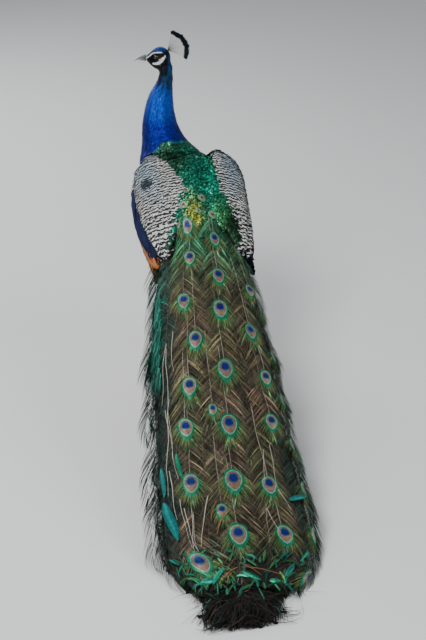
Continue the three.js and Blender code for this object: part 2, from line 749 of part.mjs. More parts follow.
// The spur on the inner rear of the shank.
function spur(side) {
  const cone = new THREE.ConeGeometry(SPUR.radius, SPUR.length, 8);
  const tilt = new THREE.Vector3(-side * 0.5, 0.8, 0.25).normalize();
  const turn = new THREE.Quaternion().setFromUnitVectors(new THREE.Vector3(0, 1, 0), tilt);
  cone.applyQuaternion(turn);
  const hock = hockPlace(side);
  const base = hock.clone().lerp(footPlace(side).setZ(14), 1 - SPUR.height / HOCK_HEIGHT);
  cone.translate(...base.addScaledVector(tilt, SPUR.length / 2 + SHANK_RADIUS - 2.2).toArray());
  return solidOf(cone);
}

// ---------------------------------------------------------------- the scene graph

const bird = new THREE.Group();

function mesh(name, solid, colour, roughness = 0.6, metalness = 0) {
  const material = new THREE.MeshStandardMaterial({ color: colour, roughness, metalness });
  const made = new THREE.Mesh(geometryOf(solid), material);
  made.name = name;
  return made;
}

// Flesh, divided by thin cuts square to the spine where a person would name its lengths.
const neckUpward = new THREE.Vector3(0.05, -0.05, 1).normalize();
const neckBaseUpward = new THREE.Vector3(0.1, -0.45, 1).normalize(); // the mantle climbs the nape
const trunkForward = new THREE.Vector3(0, -Math.cos(TRUNK_PITCH), Math.sin(TRUNK_PITCH));
const RUMP_CUT = RUMP_CENTRE.dot(trunkForward) + 20;
const NECK_BASE_CUT = new THREE.Vector3(30, -270, 596).dot(neckBaseUpward);
const NECK_MIDDLE_CUT = new THREE.Vector3(51, -288, 705).dot(neckUpward);
const NECK_TOP_CUT = new THREE.Vector3(38, -284, 810).dot(neckUpward);

const body = slice(flesh, neckBaseUpward, null, NECK_BASE_CUT);
const neck = slice(flesh, neckBaseUpward, NECK_BASE_CUT, null);
const head = without(slice(flesh, neckUpward, NECK_TOP_CUT, null), sockets);
bird.add(mesh('rump', mainBody(slice(body, trunkForward, null, RUMP_CUT)), COLOURS.rump));
bird.add(mesh('trunk', mainBody(slice(body, trunkForward, RUMP_CUT, null)), COLOURS.trunk));
bird.add(mesh('neck_lower', mainBody(slice(neck, neckUpward, null, NECK_MIDDLE_CUT)), COLOURS.neck));
bird.add(mesh('neck_upper', mainBody(slice(neck, neckUpward, NECK_MIDDLE_CUT, NECK_TOP_CUT)), COLOURS.neck));
bird.add(mesh('head', mainBody(head), COLOURS.head));

const headGroup = new THREE.Group();
headGroup.applyMatrix4(headPlace);
headGroup.add(mesh('bill_upper', mainBody(billUpper), COLOURS.bill, 0.4));
headGroup.add(mesh('bill_lower', mainBody(billLower), COLOURS.bill, 0.4));
headGroup.add(mesh('eye_left', eyeball(LEFT), COLOURS.eye, 0.05));
headGroup.add(mesh('eye_right', eyeball(RIGHT), COLOURS.eye, 0.05));
headGroup.add(mesh('crest', crest(), COLOURS.crest, 0.5));
bird.add(headGroup);

// Each wing tract gives way to the flesh and to the tracts that lie over it.
const wingCutters = [];
for (const [side, word] of [[LEFT, 'left'], [RIGHT, 'right']]) {
  const above = [];
  for (const tract of WING_TRACTS) {
    const solid = mainBody(without(wingTract(tract, side), fleshGrown, ...above));
    above.push(roomFor((grow) => wingTract(tract, side, grow)));
    bird.add(mesh(`wing_${word}_${tract.name}`, solid, tract.colour, 0.55));
  }
  wingCutters.push(...above);
}

const tail = mainBody(without(tailFan(), fleshGrown, ...wingCutters));
bird.add(mesh('tail_fan', tail, COLOURS.tail, 0.7));

const tangleSolid = tangle();
const wholeTrain = without(
  union([trainForm(), fringe()]),
  fleshGrown,
  ...wingCutters,
  roomFor(tailFan),
  roomFor(tangle),
);
TRAIN_NAMES.forEach((name, i) => {
  const cutAt = (behind) => {
    const line = trainLine(behind);
    return new THREE.Vector3(line.x, line.y, 0).dot(line.along);
  };
  const start = i > 0 ? TRAIN_CUTS[i - 1] : null;
  const end = i < TRAIN_CUTS.length ? TRAIN_CUTS[i] : null;
  let piece = wholeTrain;
  if (start !== null) piece = slice(piece, trainLine(start).along, cutAt(start), null);
  if (end !== null) piece = slice(piece, trainLine(end).along, null, cutAt(end));
  bird.add(mesh(name, mainBody(piece), TRAIN_COLOURS[i], 0.6));
});
bird.add(mesh('train_tangle', mainBody(tangleSolid), COLOURS.tangle, 0.8));

for (const [side, word] of [[LEFT, 'left'], [RIGHT, 'right']]) {
  const upperLeg = without(thigh(side), fleshGrown, ...wingCutters);
  const lowerLeg = without(shank(side), roomFor((grow) => thigh(side, grow)));
  const footGroup = new THREE.Group();
  footGroup.position.copy(footPlace(side));
  const footRoom = foot(side).translate(footPlace(side).setZ(GAP).toArray()).add(
    foot(side).translate(footPlace(side).toArray()),
  );
  bird.add(mesh(`thigh_${word}`, mainBody(upperLeg), COLOURS.thigh, 0.8));
  bird.add(mesh(`shank_${word}`, mainBody(without(lowerLeg, footRoom)), COLOURS.leg));
  footGroup.add(mesh(`foot_${word}`, foot(side), COLOURS.leg));
  for (const digit of TOES) {
    footGroup.add(mesh(`claw_${word}_${digit.name}`, claw(digit, side), COLOURS.claw, 0.4));
  }
  bird.add(footGroup);
  bird.add(mesh(`spur_${word}`, mainBody(without(spur(side), roomFor((grow) => shank(side, grow)))), COLOURS.claw, 0.4));
}

// The origin goes to the bottom centre of the bird's bounding box.
bird.updateMatrixWorld(true);
const bounds = new THREE.Box3().setFromObject(bird, true);
const middle = bounds.getCenter(new THREE.Vector3());
bird.position.set(-middle.x, -middle.y, -bounds.min.z);

export default bird;
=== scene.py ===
import math

import bpy
import numpy as np
from mathutils import Matrix, Vector
from mathutils.bvhtree import BVHTree


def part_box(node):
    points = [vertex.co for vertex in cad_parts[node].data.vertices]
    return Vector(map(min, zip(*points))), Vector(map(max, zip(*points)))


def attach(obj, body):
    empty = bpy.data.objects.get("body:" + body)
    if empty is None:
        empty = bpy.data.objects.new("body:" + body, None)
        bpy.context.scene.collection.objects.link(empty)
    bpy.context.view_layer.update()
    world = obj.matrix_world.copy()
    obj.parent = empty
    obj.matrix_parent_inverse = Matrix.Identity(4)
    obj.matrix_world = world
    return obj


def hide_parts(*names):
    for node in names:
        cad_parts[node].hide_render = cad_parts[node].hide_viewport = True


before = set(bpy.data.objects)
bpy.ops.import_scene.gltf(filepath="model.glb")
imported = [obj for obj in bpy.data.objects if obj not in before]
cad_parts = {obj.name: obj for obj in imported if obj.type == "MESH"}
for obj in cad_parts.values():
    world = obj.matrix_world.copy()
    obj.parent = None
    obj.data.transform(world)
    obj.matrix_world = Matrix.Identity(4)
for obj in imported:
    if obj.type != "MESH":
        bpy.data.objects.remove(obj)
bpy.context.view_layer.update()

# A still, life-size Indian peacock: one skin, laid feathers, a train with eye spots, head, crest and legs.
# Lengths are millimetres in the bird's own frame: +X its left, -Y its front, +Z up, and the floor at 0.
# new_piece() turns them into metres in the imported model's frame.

RNG = np.random.default_rng(1871)
UP = np.array((0.0, 0.0, 1.0))

# The bird's driving sizes, as the solids have them.
HEAD_CENTRE = np.array((62.0, -292.6, 858.0))
HEAD_YAW = math.radians(-20)
HEAD_AHEAD = np.array((math.cos(HEAD_YAW), math.sin(HEAD_YAW), 0))
HEAD_LEFT = np.array((-math.sin(HEAD_YAW), math.cos(HEAD_YAW), 0))
EYE_SIDE = 16.3
EYE_RISE = 5.0
EYE_RADIUS = 7.5
TRUNK_PITCH = math.radians(26)
TRUNK_AHEAD = np.array((0, -math.cos(TRUNK_PITCH), math.sin(TRUNK_PITCH)))
RUMP = np.array((0.0, 0.0, 405.0))
TRAIN_SWING = math.radians(8.5)
TRAIN_STRAIGHTENING = math.radians(2)
TRAIN_REACH = 1200.0
TRAIN_BEHIND = (-120, 0, 190, 420, 690, 940, 1010, 1120, 1200)
TRAIN_WIDTHS = (44, 96, 144, 161, 178, 190, 178, 108, 50)
SPINE = (
    (108, -310, 844), (88, -302, 853), (62, -293, 870), (34, -282, 856), (36, -283, 824),
    (40, -285, 778), (51, -288, 724), (49, -287, 660), (36, -280, 606), (15, -236, 545),
    (8, -171, 488), (0, -54, 431), (0, 10, 402), (0, 90, 390),
)

# Depth of the coat over the skin.
HEAD_COAT = 1.6
NECK_COAT = 4.0
BODY_COAT = 6.0
TRAIN_COAT = 8.0

FLESH = (
    "rump", "trunk", "neck_lower", "neck_upper", "head", "thigh_left", "thigh_right",
    "wing_left_coverts", "wing_left_secondaries", "wing_left_primaries",
    "wing_right_coverts", "wing_right_secondaries", "wing_right_primaries",
)
TRAIN_NODES = ("train_base", "train_upper", "train_middle", "train_lower", "train_end")

# Plumage colours, chosen for each region.
COBALT = (0.0005, 0.0075, 0.190)
HIGHLIGHT_AZURE = (0.0008, 0.060, 0.400)
TEAL_BLUE = (0.003, 0.045, 0.090)
NIGHT = (0.0015, 0.0028, 0.005)
CROWN_BLUE = (0.002, 0.034, 0.210)
FACE_WHITE = (0.62, 0.62, 0.58)
BREAST = (0.003, 0.030, 0.090)
BELLY = (0.012, 0.014, 0.011)
BRONZE = (0.040, 0.150, 0.080)
EMERALD = (0.004, 0.165, 0.070)
BACK_TEAL = (0.004, 0.300, 0.180)
GOLD_GREEN = (0.340, 0.370, 0.030)
WING_BUFF = (0.600, 0.590, 0.560)
WING_GREY = (0.430, 0.540, 0.610)
WING_NIGHT = (0.0008, 0.003, 0.012)
WING_NAVY = (0.001, 0.006, 0.042)
CHESTNUT = (0.420, 0.145, 0.042)
THIGH_BUFF = (0.260, 0.190, 0.110)
TRAIN_BRONZE = (0.098, 0.062, 0.038)
TRAIN_OLIVE = (0.066, 0.070, 0.028)
TRAIN_EMERALD = (0.002, 0.040, 0.026)
FLANK_TEAL = (0.003, 0.150, 0.100)
TRAIN_DARK = (0.007, 0.006, 0.005)
COPPER = (0.230, 0.085, 0.026)
SHAFT_PALE = (0.420, 0.390, 0.320)
TAIL_BROWN = (0.055, 0.040, 0.026)
ROOT_GREEN = (0.10, 0.30, 0.04)
RUMP_DARK = (0.018, 0.050, 0.024)
PATCH_TEAL = (0.012, 0.040, 0.055)
VANE_TEAL = (0.004, 0.150, 0.115)
VANE_OLIVE = (0.030, 0.120, 0.030)
PLUME_BROWN = (0.024, 0.014, 0.009)
PLUME_TEAL = (0.003, 0.075, 0.055)
BAR_BLACK = (0.010, 0.011, 0.014, 1)
RIM_BLACK = (0.006, 0.009, 0.007, 1)


def unit(vectors):
    """Vectors at length 1."""
    return vectors / np.maximum(np.linalg.norm(vectors, axis=-1, keepdims=True), 1e-9)


def smooth(value, low, high):
    """0 below low, 1 above high, and a soft step between them."""
    share = np.clip((np.asarray(value, float) - low) / (high - low), 0, 1)
    return share * share * (3 - 2 * share)


def mix(first, second, share):
    """Colours from first to second, by share."""
    share = np.asarray(share)[..., None]
    return np.asarray(first, float) * (1 - share) + np.asarray(second, float) * share


def head_place(ahead, side, rise):
    """A point of the head's own frame."""
    return HEAD_CENTRE + ahead * HEAD_AHEAD + side * HEAD_LEFT + rise * UP


def frame_shift():
    """What takes the bird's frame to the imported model's, from where its left eye is."""
    low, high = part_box("eye_left")
    return np.array((low + high) / 2) * 1000 - head_place(0, EYE_SIDE, EYE_RISE)


SHIFT = frame_shift()


def ahead_of_rump(points):
    """How far ahead of the rump's centre points are, along the trunk."""
    return (points - RUMP) @ TRUNK_AHEAD


def in_head(points):
    """Points as the head's ahead, side and rise."""
    away = points - HEAD_CENTRE
    return away @ HEAD_AHEAD, away @ HEAD_LEFT, away[..., 2]


# ---- meshes -------------------------------------------------------------------------------------


class Surface:
    """A mesh of four-cornered faces that feathers are laid on."""

    def __init__(self, points, faces, outer=None):
        self.points = points
        self.faces = faces
        self.outer = points if outer is None else outer
        corners = points[faces]
        cross = np.cross(corners[:, 2] - corners[:, 0], corners[:, 3] - corners[:, 1])
        self.areas = np.linalg.norm(cross, axis=1) / 2
        self.normals = np.zeros_like(points)
        for corner in range(faces.shape[1]):
            np.add.at(self.normals, faces[:, corner], cross)
        self.normals = unit(self.normals)
        self.tree = BVHTree.FromPolygons(points.tolist(), faces.tolist())

    def nearest(self, spots):
        """The surface's points nearest to spots, and its normals there."""
        flat = spots.reshape(-1, 3)
        found = [self.tree.find_nearest(spot) for spot in flat.tolist()]
        places = np.array([hit[0] for hit in found])
        normals = unit(self.normals[self.faces[[hit[2] for hit in found]]].mean(axis=1))
        return places.reshape(spots.shape), normals.reshape(spots.shape)

    def scatter(self, spacing, wanted):
        """Roots about spacing apart, where wanted(outer points, normals) holds, and their outer points."""
        count = int(self.areas.sum() * 3 / spacing**2)
        chosen = RNG.choice(len(self.faces), count, p=self.areas / self.areas.sum())
        across, along = RNG.random((2, count, 1))
        corners = self.faces[chosen]
        spots = self.between(self.points[corners], across, along)
        outer = self.between(self.outer[corners], across, along)
        normals = unit(self.normals[corners].mean(axis=1))
        kept = np.flatnonzero(wanted(outer, normals))
        kept = kept[thinned(spots[kept], spacing * 0.8)]
        return spots[kept], outer[kept]

    @staticmethod
    def between(corners, across, along):
        """Points inside four-cornered faces."""
        near = corners[:, 0] * (1 - across) + corners[:, 1] * across
        far = corners[:, 3] * (1 - across) + corners[:, 2] * across
        return near * (1 - along) + far * along


def thinned(spots, spacing):
    """Which spots to keep so that none is within spacing of another."""
    cells = {}
    kept = []
    keys = np.floor(spots / spacing).astype(int).tolist()
    steps = [(i, j, k) for i in (-1, 0, 1) for j in (-1, 0, 1) for k in (-1, 0, 1)]
    for index, (spot, key) in enumerate(zip(spots.tolist(), keys)):
        near = (cells.get((key[0] + i, key[1] + j, key[2] + k)) for i, j, k in steps)
        if all(other is None or math.dist(other, spot) > spacing for other in near):
            cells[tuple(key)] = spot
            kept.append(index)
    return kept


def arrays_of(mesh):
    """A mesh's points in the bird's frame, and its four-cornered faces."""
    points = np.empty(len(mesh.vertices) * 3)
    mesh.vertices.foreach_get("co", points)
    corners = [list(face.vertices) for face in mesh.polygons]
    faces = np.array([face if len(face) == 4 else face + face[-1:] for face in corners])
    return points.reshape(-1, 3) * 1000 - SHIFT, faces


def relaxed(points, faces, rounds):
    """The points drawn to their neighbours' middle, rounds times."""
    pairs = np.concatenate([faces[:, [a, (a + 1) % 4]] for a in range(4)])
    pairs = pairs[pairs[:, 0] != pairs[:, 1]]
    pairs = np.unique(np.sort(pairs, axis=1), axis=0)
    count = np.zeros(len(points))
    np.add.at(count, pairs.ravel(), 1)
    for _ in range(rounds):
        total = np.zeros_like(points)
        np.add.at(total, pairs[:, 0], points[pairs[:, 1]])
        np.add.at(total, pairs[:, 1], points[pairs[:, 0]])
        points = points * 0.4 + total / np.maximum(count, 1)[:, None] * 0.6
    return points


def remeshed(nodes, voxel, rounds):
    """The named solids as one smoothed surface."""
    points, faces, start = [], [], 0
    for node in nodes:
        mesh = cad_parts[node].data
        points += [vertex.co.copy() for vertex in mesh.vertices]
        faces += [[start + corner for corner in face.vertices] for face in mesh.polygons]
        start += len(mesh.vertices)
    mesh = bpy.data.meshes.new("Joined")
    mesh.from_pydata(points, [], faces)
    holder = bpy.data.objects.new("Joined", mesh)
    bpy.context.scene.collection.objects.link(holder)
    remesh = holder.modifiers.new("Remesh", "REMESH")
    remesh.mode = "VOXEL"
    remesh.voxel_size = voxel / 1000
    evaluated = holder.evaluated_get(bpy.context.evaluated_depsgraph_get())
    made, quads = arrays_of(evaluated.to_mesh())
    evaluated.to_mesh_clear()
    bpy.data.objects.remove(holder)
    return Surface(relaxed(made, quads, rounds), quads)


def new_piece(name, points, faces, material, replaces=(), layers=None, patches=None):
    """A piece of the model from points in the bird's frame."""
    mesh = bpy.data.meshes.new(name)
    placed = (np.asarray(points).reshape(-1, 3) + SHIFT) / 1000
    placed[:, 2] = np.maximum(placed[:, 2], 0)
    mesh.from_pydata(placed.tolist(), [], np.asarray(faces).tolist())
    mesh.polygons.foreach_set("use_smooth", [True] * len(mesh.polygons))
    for layer, values in (layers or {}).items():
        kind = "FLOAT_COLOR" if values.shape[-1] == 4 else "FLOAT_VECTOR"
        field = "color" if kind == "FLOAT_COLOR" else "vector"
        data = mesh.attributes.new(layer, kind, "POINT").data
        data.foreach_set(field, values.astype(np.float32).ravel())
    if patches is not None:
        corners = np.empty(len(mesh.loops), int)
        mesh.loops.foreach_get("vertex_index", corners)
        places = patches.reshape(-1, 2)[corners]
        mesh.uv_layers.new(name="OFBake").data.foreach_set("uv", places.astype(np.float32).ravel())
    mesh.materials.append(material)
    piece = bpy.data.objects.new(name, mesh)
    bpy.context.scene.collection.objects.link(piece)
    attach(piece, "root")
    if replaces:
        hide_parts(*replaces)
    return piece


# ---- materials ----------------------------------------------------------------------------------


class Shader:
    """A material's node tree, with short calls for the nodes used here."""

    def __init__(self, name):
        self.material = bpy.data.materials.new(name)
        self.material.use_nodes = True
        self.tree = self.material.node_tree
        self.surface = self.tree.nodes["Principled BSDF"]

    def value(self, socket, source):
        """Sets a socket to a number or colour, or links it."""
        if isinstance(source, bpy.types.NodeSocket):
            self.tree.links.new(source, socket)
        else:
            socket.default_value = source

    def attribute(self, name):
        """A mesh attribute by its name."""
        node = self.tree.nodes.new("ShaderNodeAttribute")
        node.attribute_name = name
        return node

    def parts(self, vector):
        """A vector's three parts."""
        node = self.tree.nodes.new("ShaderNodeSeparateXYZ")
        self.value(node.inputs[0], vector)
        return node.outputs

    def math(self, operation, first, second=0.5):
        """A sum of two values."""
        node = self.tree.nodes.new("ShaderNodeMath")
        node.operation = operation
        self.value(node.inputs[0], first)
        self.value(node.inputs[1], second)
        return node.outputs[0]

    def step(self, source, low, high, first=0.0, last=1.0):
        """A soft step from first to last, as source goes from low to high."""
        node = self.tree.nodes.new("ShaderNodeMapRange")
        node.interpolation_type = "SMOOTHSTEP"
        for socket, number in zip(node.inputs[0:5], (source, low, high, first, last)):
            self.value(socket, number)
        return node.outputs[0]

    def noise(self, scale, detail=2.0):
        """Noise over the piece's own coordinates."""
        coordinates = self.tree.nodes.new("ShaderNodeTexCoord")
        node = self.tree.nodes.new("ShaderNodeTexNoise")
        self.value(node.inputs["Vector"], coordinates.outputs["Object"])
        self.value(node.inputs["Scale"], scale)
        self.value(node.inputs["Detail"], detail)
        return node.outputs[0]

    def blend(self, share, first, second, kind="MIX"):
        """Two colours mixed by share."""
        node = self.tree.nodes.new("ShaderNodeMixRGB")
        node.blend_type = kind
        for socket, source in zip(node.inputs, (share, first, second)):
            self.value(socket, source)
        return node.outputs[0]

    def bump(self, height, strength, distance):
        """Small relief, distance mm deep."""
        node = self.tree.nodes.new("ShaderNodeBump")
        self.value(node.inputs["Height"], height)
        self.value(node.inputs["Strength"], strength)
        self.value(node.inputs["Distance"], distance / 1000)
        self.value(self.surface.inputs["Normal"], node.outputs[0])

    def finish(self, colour, roughness, metallic=0.0):
        """The material with its colour, roughness and metal share."""
        for name, source in (("Base Color", colour), ("Roughness", roughness), ("Metallic", metallic)):
            self.value(self.surface.inputs[name], source)
        return self.material


def plume_material(name, gloss, roughness, barb_pitch=1.6):
    """Feather vanes: tint, dark edges and bars from the marks, and the fine ridges of the barbs."""
    shader = Shader(name)
    tint = shader.attribute("Tint").outputs["Color"]
    across, along, travel = shader.parts(shader.attribute("Vane").outputs["Vector"])
    edged, barred, _ = shader.parts(shader.attribute("Mark").outputs["Vector"])
    from_shaft = shader.math("ABSOLUTE", across)
    wobble = shader.math("MULTIPLY", shader.math("SUBTRACT", shader.noise(85), 0.5), 12.0)
    scallop = shader.math("MULTIPLY", shader.math("POWER", from_shaft, 2.0), 1.8)
    place = shader.math("ADD", shader.math("ADD", travel, wobble), scallop)
    wave = shader.math("SINE", shader.math("MULTIPLY", place, 0.78))
    bar = shader.math("MULTIPLY", shader.step(wave, -0.48, -0.16), barred)
    rim = shader.math("MAXIMUM", shader.step(from_shaft, 0.55, 0.95), shader.step(along, 0.72, 0.95))
    rim = shader.math("MULTIPLY", rim, edged)
    mottle = shader.step(shader.noise(160, 3), 0.3, 0.7, 0.72, 1.25)
    colour = shader.blend(1.0, tint, mottle, "MULTIPLY")
    colour = shader.blend(bar, colour, BAR_BLACK)
    colour = shader.blend(rim, colour, RIM_BLACK)
    slant = shader.math("ADD", travel, shader.math("MULTIPLY", from_shaft, 5.0))
    ridge = shader.math("SINE", shader.math("MULTIPLY", slant, 2 * math.pi / barb_pitch))
    shader.bump(ridge, 0.35, 0.3)
    shine = shader.math("SUBTRACT", gloss, shader.math("MULTIPLY", barred, gloss))
    shader.surface.inputs["Specular IOR Level"].default_value = 0.5 if gloss > 0.3 else 0.2
    return shader.finish(colour, roughness, shine)


def horn_material(name, root, tip, roughness):
    """Horn that runs from root to tip colour, by the Tint's red, with growth lines."""
    shader = Shader(name)
    share = shader.parts(shader.attribute("Tint").outputs["Color"])[0]
    colour = shader.blend(share, (*root, 1), (*tip, 1))
    mottle = shader.step(shader.noise(420, 4), 0.3, 0.7, 0.75, 1.15)
    colour = shader.blend(1.0, colour, mottle, "MULTIPLY")
    shader.bump(shader.noise(900, 3), 0.25, 0.15)
    return shader.finish(colour, roughness)


def scale_material(name, colour, groove):
    """Leg skin: a net of small scales with dark grooves."""
    shader = Shader(name)
    coordinates = shader.tree.nodes.new("ShaderNodeTexCoord")
    net = shader.tree.nodes.new("ShaderNodeTexVoronoi")
    net.feature = "DISTANCE_TO_EDGE"
    shader.value(net.inputs["Vector"], coordinates.outputs["Object"])
    shader.value(net.inputs["Scale"], 330.0)
    raised = shader.step(net.outputs[0], 0.0, 0.16)
    mottle = shader.step(shader.noise(60), 0.3, 0.7, 0.75, 1.2)
    tone = shader.blend(raised, (*groove, 1), (*colour, 1))
    shader.bump(raised, 0.7, 0.5)
    return shader.finish(shader.blend(1.0, tone, mottle, "MULTIPLY"), 0.55)


def eye_material():
    """A wet eye: black pupil, dark brown iris and a black rim, by Tint's red from the eye's axis out."""
    shader = Shader("Wet eye")
    away = shader.parts(shader.attribute("Tint").outputs["Color"])[0]
    streaks = shader.step(shader.noise(900, 3), 0.3, 0.7, 0.6, 1.4)
    iris = shader.blend(1.0, (0.012, 0.006, 0.004, 1), streaks, "MULTIPLY")
    colour = shader.blend(shader.step(away, 0.50, 0.56), (0.001, 0.001, 0.001, 1), iris)
    colour = shader.blend(shader.step(away, 0.74, 0.86), colour, (0.004, 0.003, 0.003, 1))
    shader.surface.inputs["Coat Weight"].default_value = 0.3
    shader.surface.inputs["Coat Roughness"].default_value = 0.03
    return shader.finish(colour, 0.12)


PLUME = plume_material("Iridescent plumage", 0.80, 0.38)
MATT_PLUME = plume_material("Matt plumage", 0.05, 0.62)
TRAIN_PLUME = plume_material("Train barbs", 0.42, 0.42)
SHAFT_HORN = plume_material("Feather shafts", 0.0, 0.45)
EYESPOT_PLUME = plume_material("Eye-spot vane", 0.50, 0.34)


# ---- where things are on the bird -----------------------------------------------------------------


def spine_field(points):
    """Station along the spine (0 bill, 1 train), the way the coat lies, and the way out from the spine."""
    spine = np.array(SPINE, float)
    starts, legs = spine[:-1], np.diff(spine, axis=0)
    lengths = np.linalg.norm(legs, axis=1)
    reach = np.concatenate([[0], np.cumsum(lengths)])
    away = points[:, None] - starts
    share = np.clip((away * legs).sum(-1) / lengths**2, 0, 1)
    feet = starts + share[..., None] * legs
    distance = np.linalg.norm(points[:, None] - feet, axis=2)
    weight = np.exp(-((distance - distance.min(axis=1, keepdims=True)) / 12.0))
    weight = weight / weight.sum(axis=1, keepdims=True)
    station = (weight * (reach[:-1] + share * lengths)).sum(axis=1) / reach[-1]
    way = (weight[..., None] * (legs / lengths[:, None])).sum(axis=1)
    centre = (weight[..., None] * feet).sum(axis=1)
    return station, unit(way), unit(points - centre)


def node_finder():
    """A function that names the solid of flesh that is nearest to each point."""
    points, faces, names = [], [], []
    for index, node in enumerate(FLESH):
        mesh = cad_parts[node].data
        start = len(points)
        points += [(np.array(vertex.co) * 1000 - SHIFT).tolist() for vertex in mesh.vertices]
        faces += [[start + corner for corner in face.vertices] for face in mesh.polygons]
        names += [index] * len(mesh.polygons)
    tree = BVHTree.FromPolygons(points, faces)
    labels = np.array(FLESH)

    def find(spots):
        return labels[[names[tree.find_nearest(spot)[2]] for spot in spots.tolist()]]

    return find


nearest_node = node_finder()


# The middle lines of the bare white stripes: ahead, rise and half width in the head's frame. They were typed
# in after what a scratch script printed when it cast pixels, read by eye, onto the head.
UPPER_STRIPE = np.array((
    (31.0, -4.6, 1.1), (25.0, 0.4, 1.1), (19.5, 5.6, 1.2), (13.8, 12.0, 1.3), (7.3, 16.2, 1.5),
    (-5.3, 19.1, 1.5), (-13.8, 19.7, 1.2), (-19.5, 19.3, 0.7),
))
LOWER_PATCH = np.array((
    (10.5, -15.2, 2.4), (5.0, -14.8, 3.4), (-2.3, -12.8, 4.8), (-9.5, -8.6, 6.0), (-15.5, -2.2, 6.0),
    (-20.2, 4.0, 5.2), (-24.0, 9.0, 4.0),
))


def stroke(ahead, rise, line):
    """How far a line with a half width at each of its corners covers places of the head's side."""
    place = np.stack([ahead, rise], axis=-1)[:, None]
    starts, legs = line[:-1], np.diff(line, axis=0)
    share = ((place - starts[:, :2]) * legs[:, :2]).sum(-1) / (legs[:, :2] ** 2).sum(-1)
    share = np.clip(share, 0, 1)
    feet = starts + share[..., None] * legs
    past = np.linalg.norm(place - feet[..., :2], axis=-1) - feet[..., 2]
    return 1 - smooth(past.min(axis=1), -0.5, 0.7)


def facial_white(points):
    """How far the two bare white stripes of the face cover each point."""
    ahead, side, rise = in_head(points)
    cover = np.maximum(stroke(ahead, rise, UPPER_STRIPE), stroke(ahead, rise, LOWER_PATCH))
    return cover * smooth(np.abs(side), 3.5, 6)


def head_colour(points):
    """Blue crown, black lore, cheek and throat, white stripes."""
    ahead, _, rise = in_head(points)
    brow = np.interp(ahead, UPPER_STRIPE[::-1, 0], UPPER_STRIPE[::-1, 1])
    crown = smooth(rise - brow, 2.0, 5.0) * (1 - smooth(ahead, 20, 27))
    back = smooth(-ahead, 31, 39)
    colour = mix(NIGHT, CROWN_BLUE, np.maximum(crown, back))
    colour = mix(colour, TEAL_BLUE, back * 0.75)
    return mix(colour, FACE_WHITE, facial_white(points))


def neck_colour(points, out):
    """Cobalt, with a painted azure highlight in the upper middle, teal at the nape, dark under the head and
    on the breast.
    """
    height = points[:, 2]
    nape = smooth(out[:, 1] - 0.2 * out[:, 0], 0.1, 0.9) * smooth(height, 740, 800)
    # Painted highlight: the iridescent neck is lifted from cobalt to azure in a band of its upper middle.
    neck_highlight = smooth(height, 665, 715) * (1 - smooth(height, 765, 800))
    colour = mix(COBALT, HIGHLIGHT_AZURE, neck_highlight * 0.75)
    colour = mix(colour, TEAL_BLUE, nape * 0.8)
    left, behind = points[:, 0], points[:, 1]
    ragged = 8 * np.sin(left / 2.7 + 2 * np.sin(behind / 3.9)) + 6 * np.sin(behind / 1.9)
    throat = smooth(height + ragged, 785, 800)
    colour = mix(colour, NIGHT, throat * (1 - 0.55 * nape))
    under = smooth(-out[:, 2], -0.1, 0.8) * (1 - smooth(height, 470, 560))
    return mix(colour, BREAST, np.maximum(under, 1 - smooth(height, 500, 600)) * 0.8)


def back_colour(points):
    """Bronze on the shoulders, emerald on the middle of the back, gold-green to the rump."""
    left = points[:, 0]
    behind = points[:, 1]
    colour = mix(BACK_TEAL, BRONZE, smooth(left, -20, 40) * (1 - smooth(behind, -150, -70)) * 0.9)
    gold = np.exp(-((left - 12) / 26) ** 2 - ((behind + 8) / 38) ** 2)
    colour = mix(colour, GOLD_GREEN, np.clip(gold * 1.2, 0, 0.92))
    colour = mix(colour, ROOT_GREEN, smooth(-left, 20, 60) * smooth(behind, -70, -10) * 0.5)
    past = behind - 0.5 * np.minimum(left + 20, 0)
    return mix(colour, RUMP_DARK, smooth(past, 8, 40) * 0.92)


# How far out the barred feathers begin at the waist, and how fast that widens ahead of it and behind it.
LEFT_BARS = (33, -85, 0.37, 0.58)
RIGHT_BARS = (72, -90, 0.0, 0.68)
BARS_FRONT = -214


def in_bars(points, out):
    """Where the barred scapulars and coverts lie on the upper side, which is wider than the solid wings."""
    found = np.zeros(len(points), bool)
    for side, (start, waist, ahead, behind) in ((1, LEFT_BARS), (-1, RIGHT_BARS)):
        past = points[:, 1] - waist
        edge = start + ahead * np.maximum(-past, 0) + behind * np.maximum(past, 0)
        found |= points[:, 0] * side > edge
    low = np.where(np.abs(points[:, 0]) > 95, -0.3, 0.05)
    return found & (out[:, 2] > low) & (points[:, 1] > BARS_FRONT)


DARK_PATCH = np.array((131.0, -128.0, 553.0))  # on the left shoulder


def wing_colour(points, names):
    """Barred coverts, blue-black secondaries and chestnut primaries."""
    side = np.abs(points[:, 0])
    grey = smooth(points[:, 2], 500, 580) * smooth(side, 80, 120)
    colour = mix(WING_BUFF, WING_GREY, grey)
    patch = 1 - smooth(np.linalg.norm(points - DARK_PATCH, axis=1), 14, 24)
    colour = mix(colour, PATCH_TEAL, patch * 0.93)
    dark = np.char.endswith(names, "secondaries")
    rufous = np.char.endswith(names, "primaries")
    night = mix(WING_NIGHT, WING_NAVY, smooth(ahead_of_rump(points), 20, 90))
    colour = np.where(dark[:, None], night, colour)
    return np.where(rufous[:, None], CHESTNUT, colour)


# The chestnut band's upper edge at the rump's centre, and how it falls behind that.
CHESTNUT_TOP = 417
CHESTNUT_SLOPE = 0.456


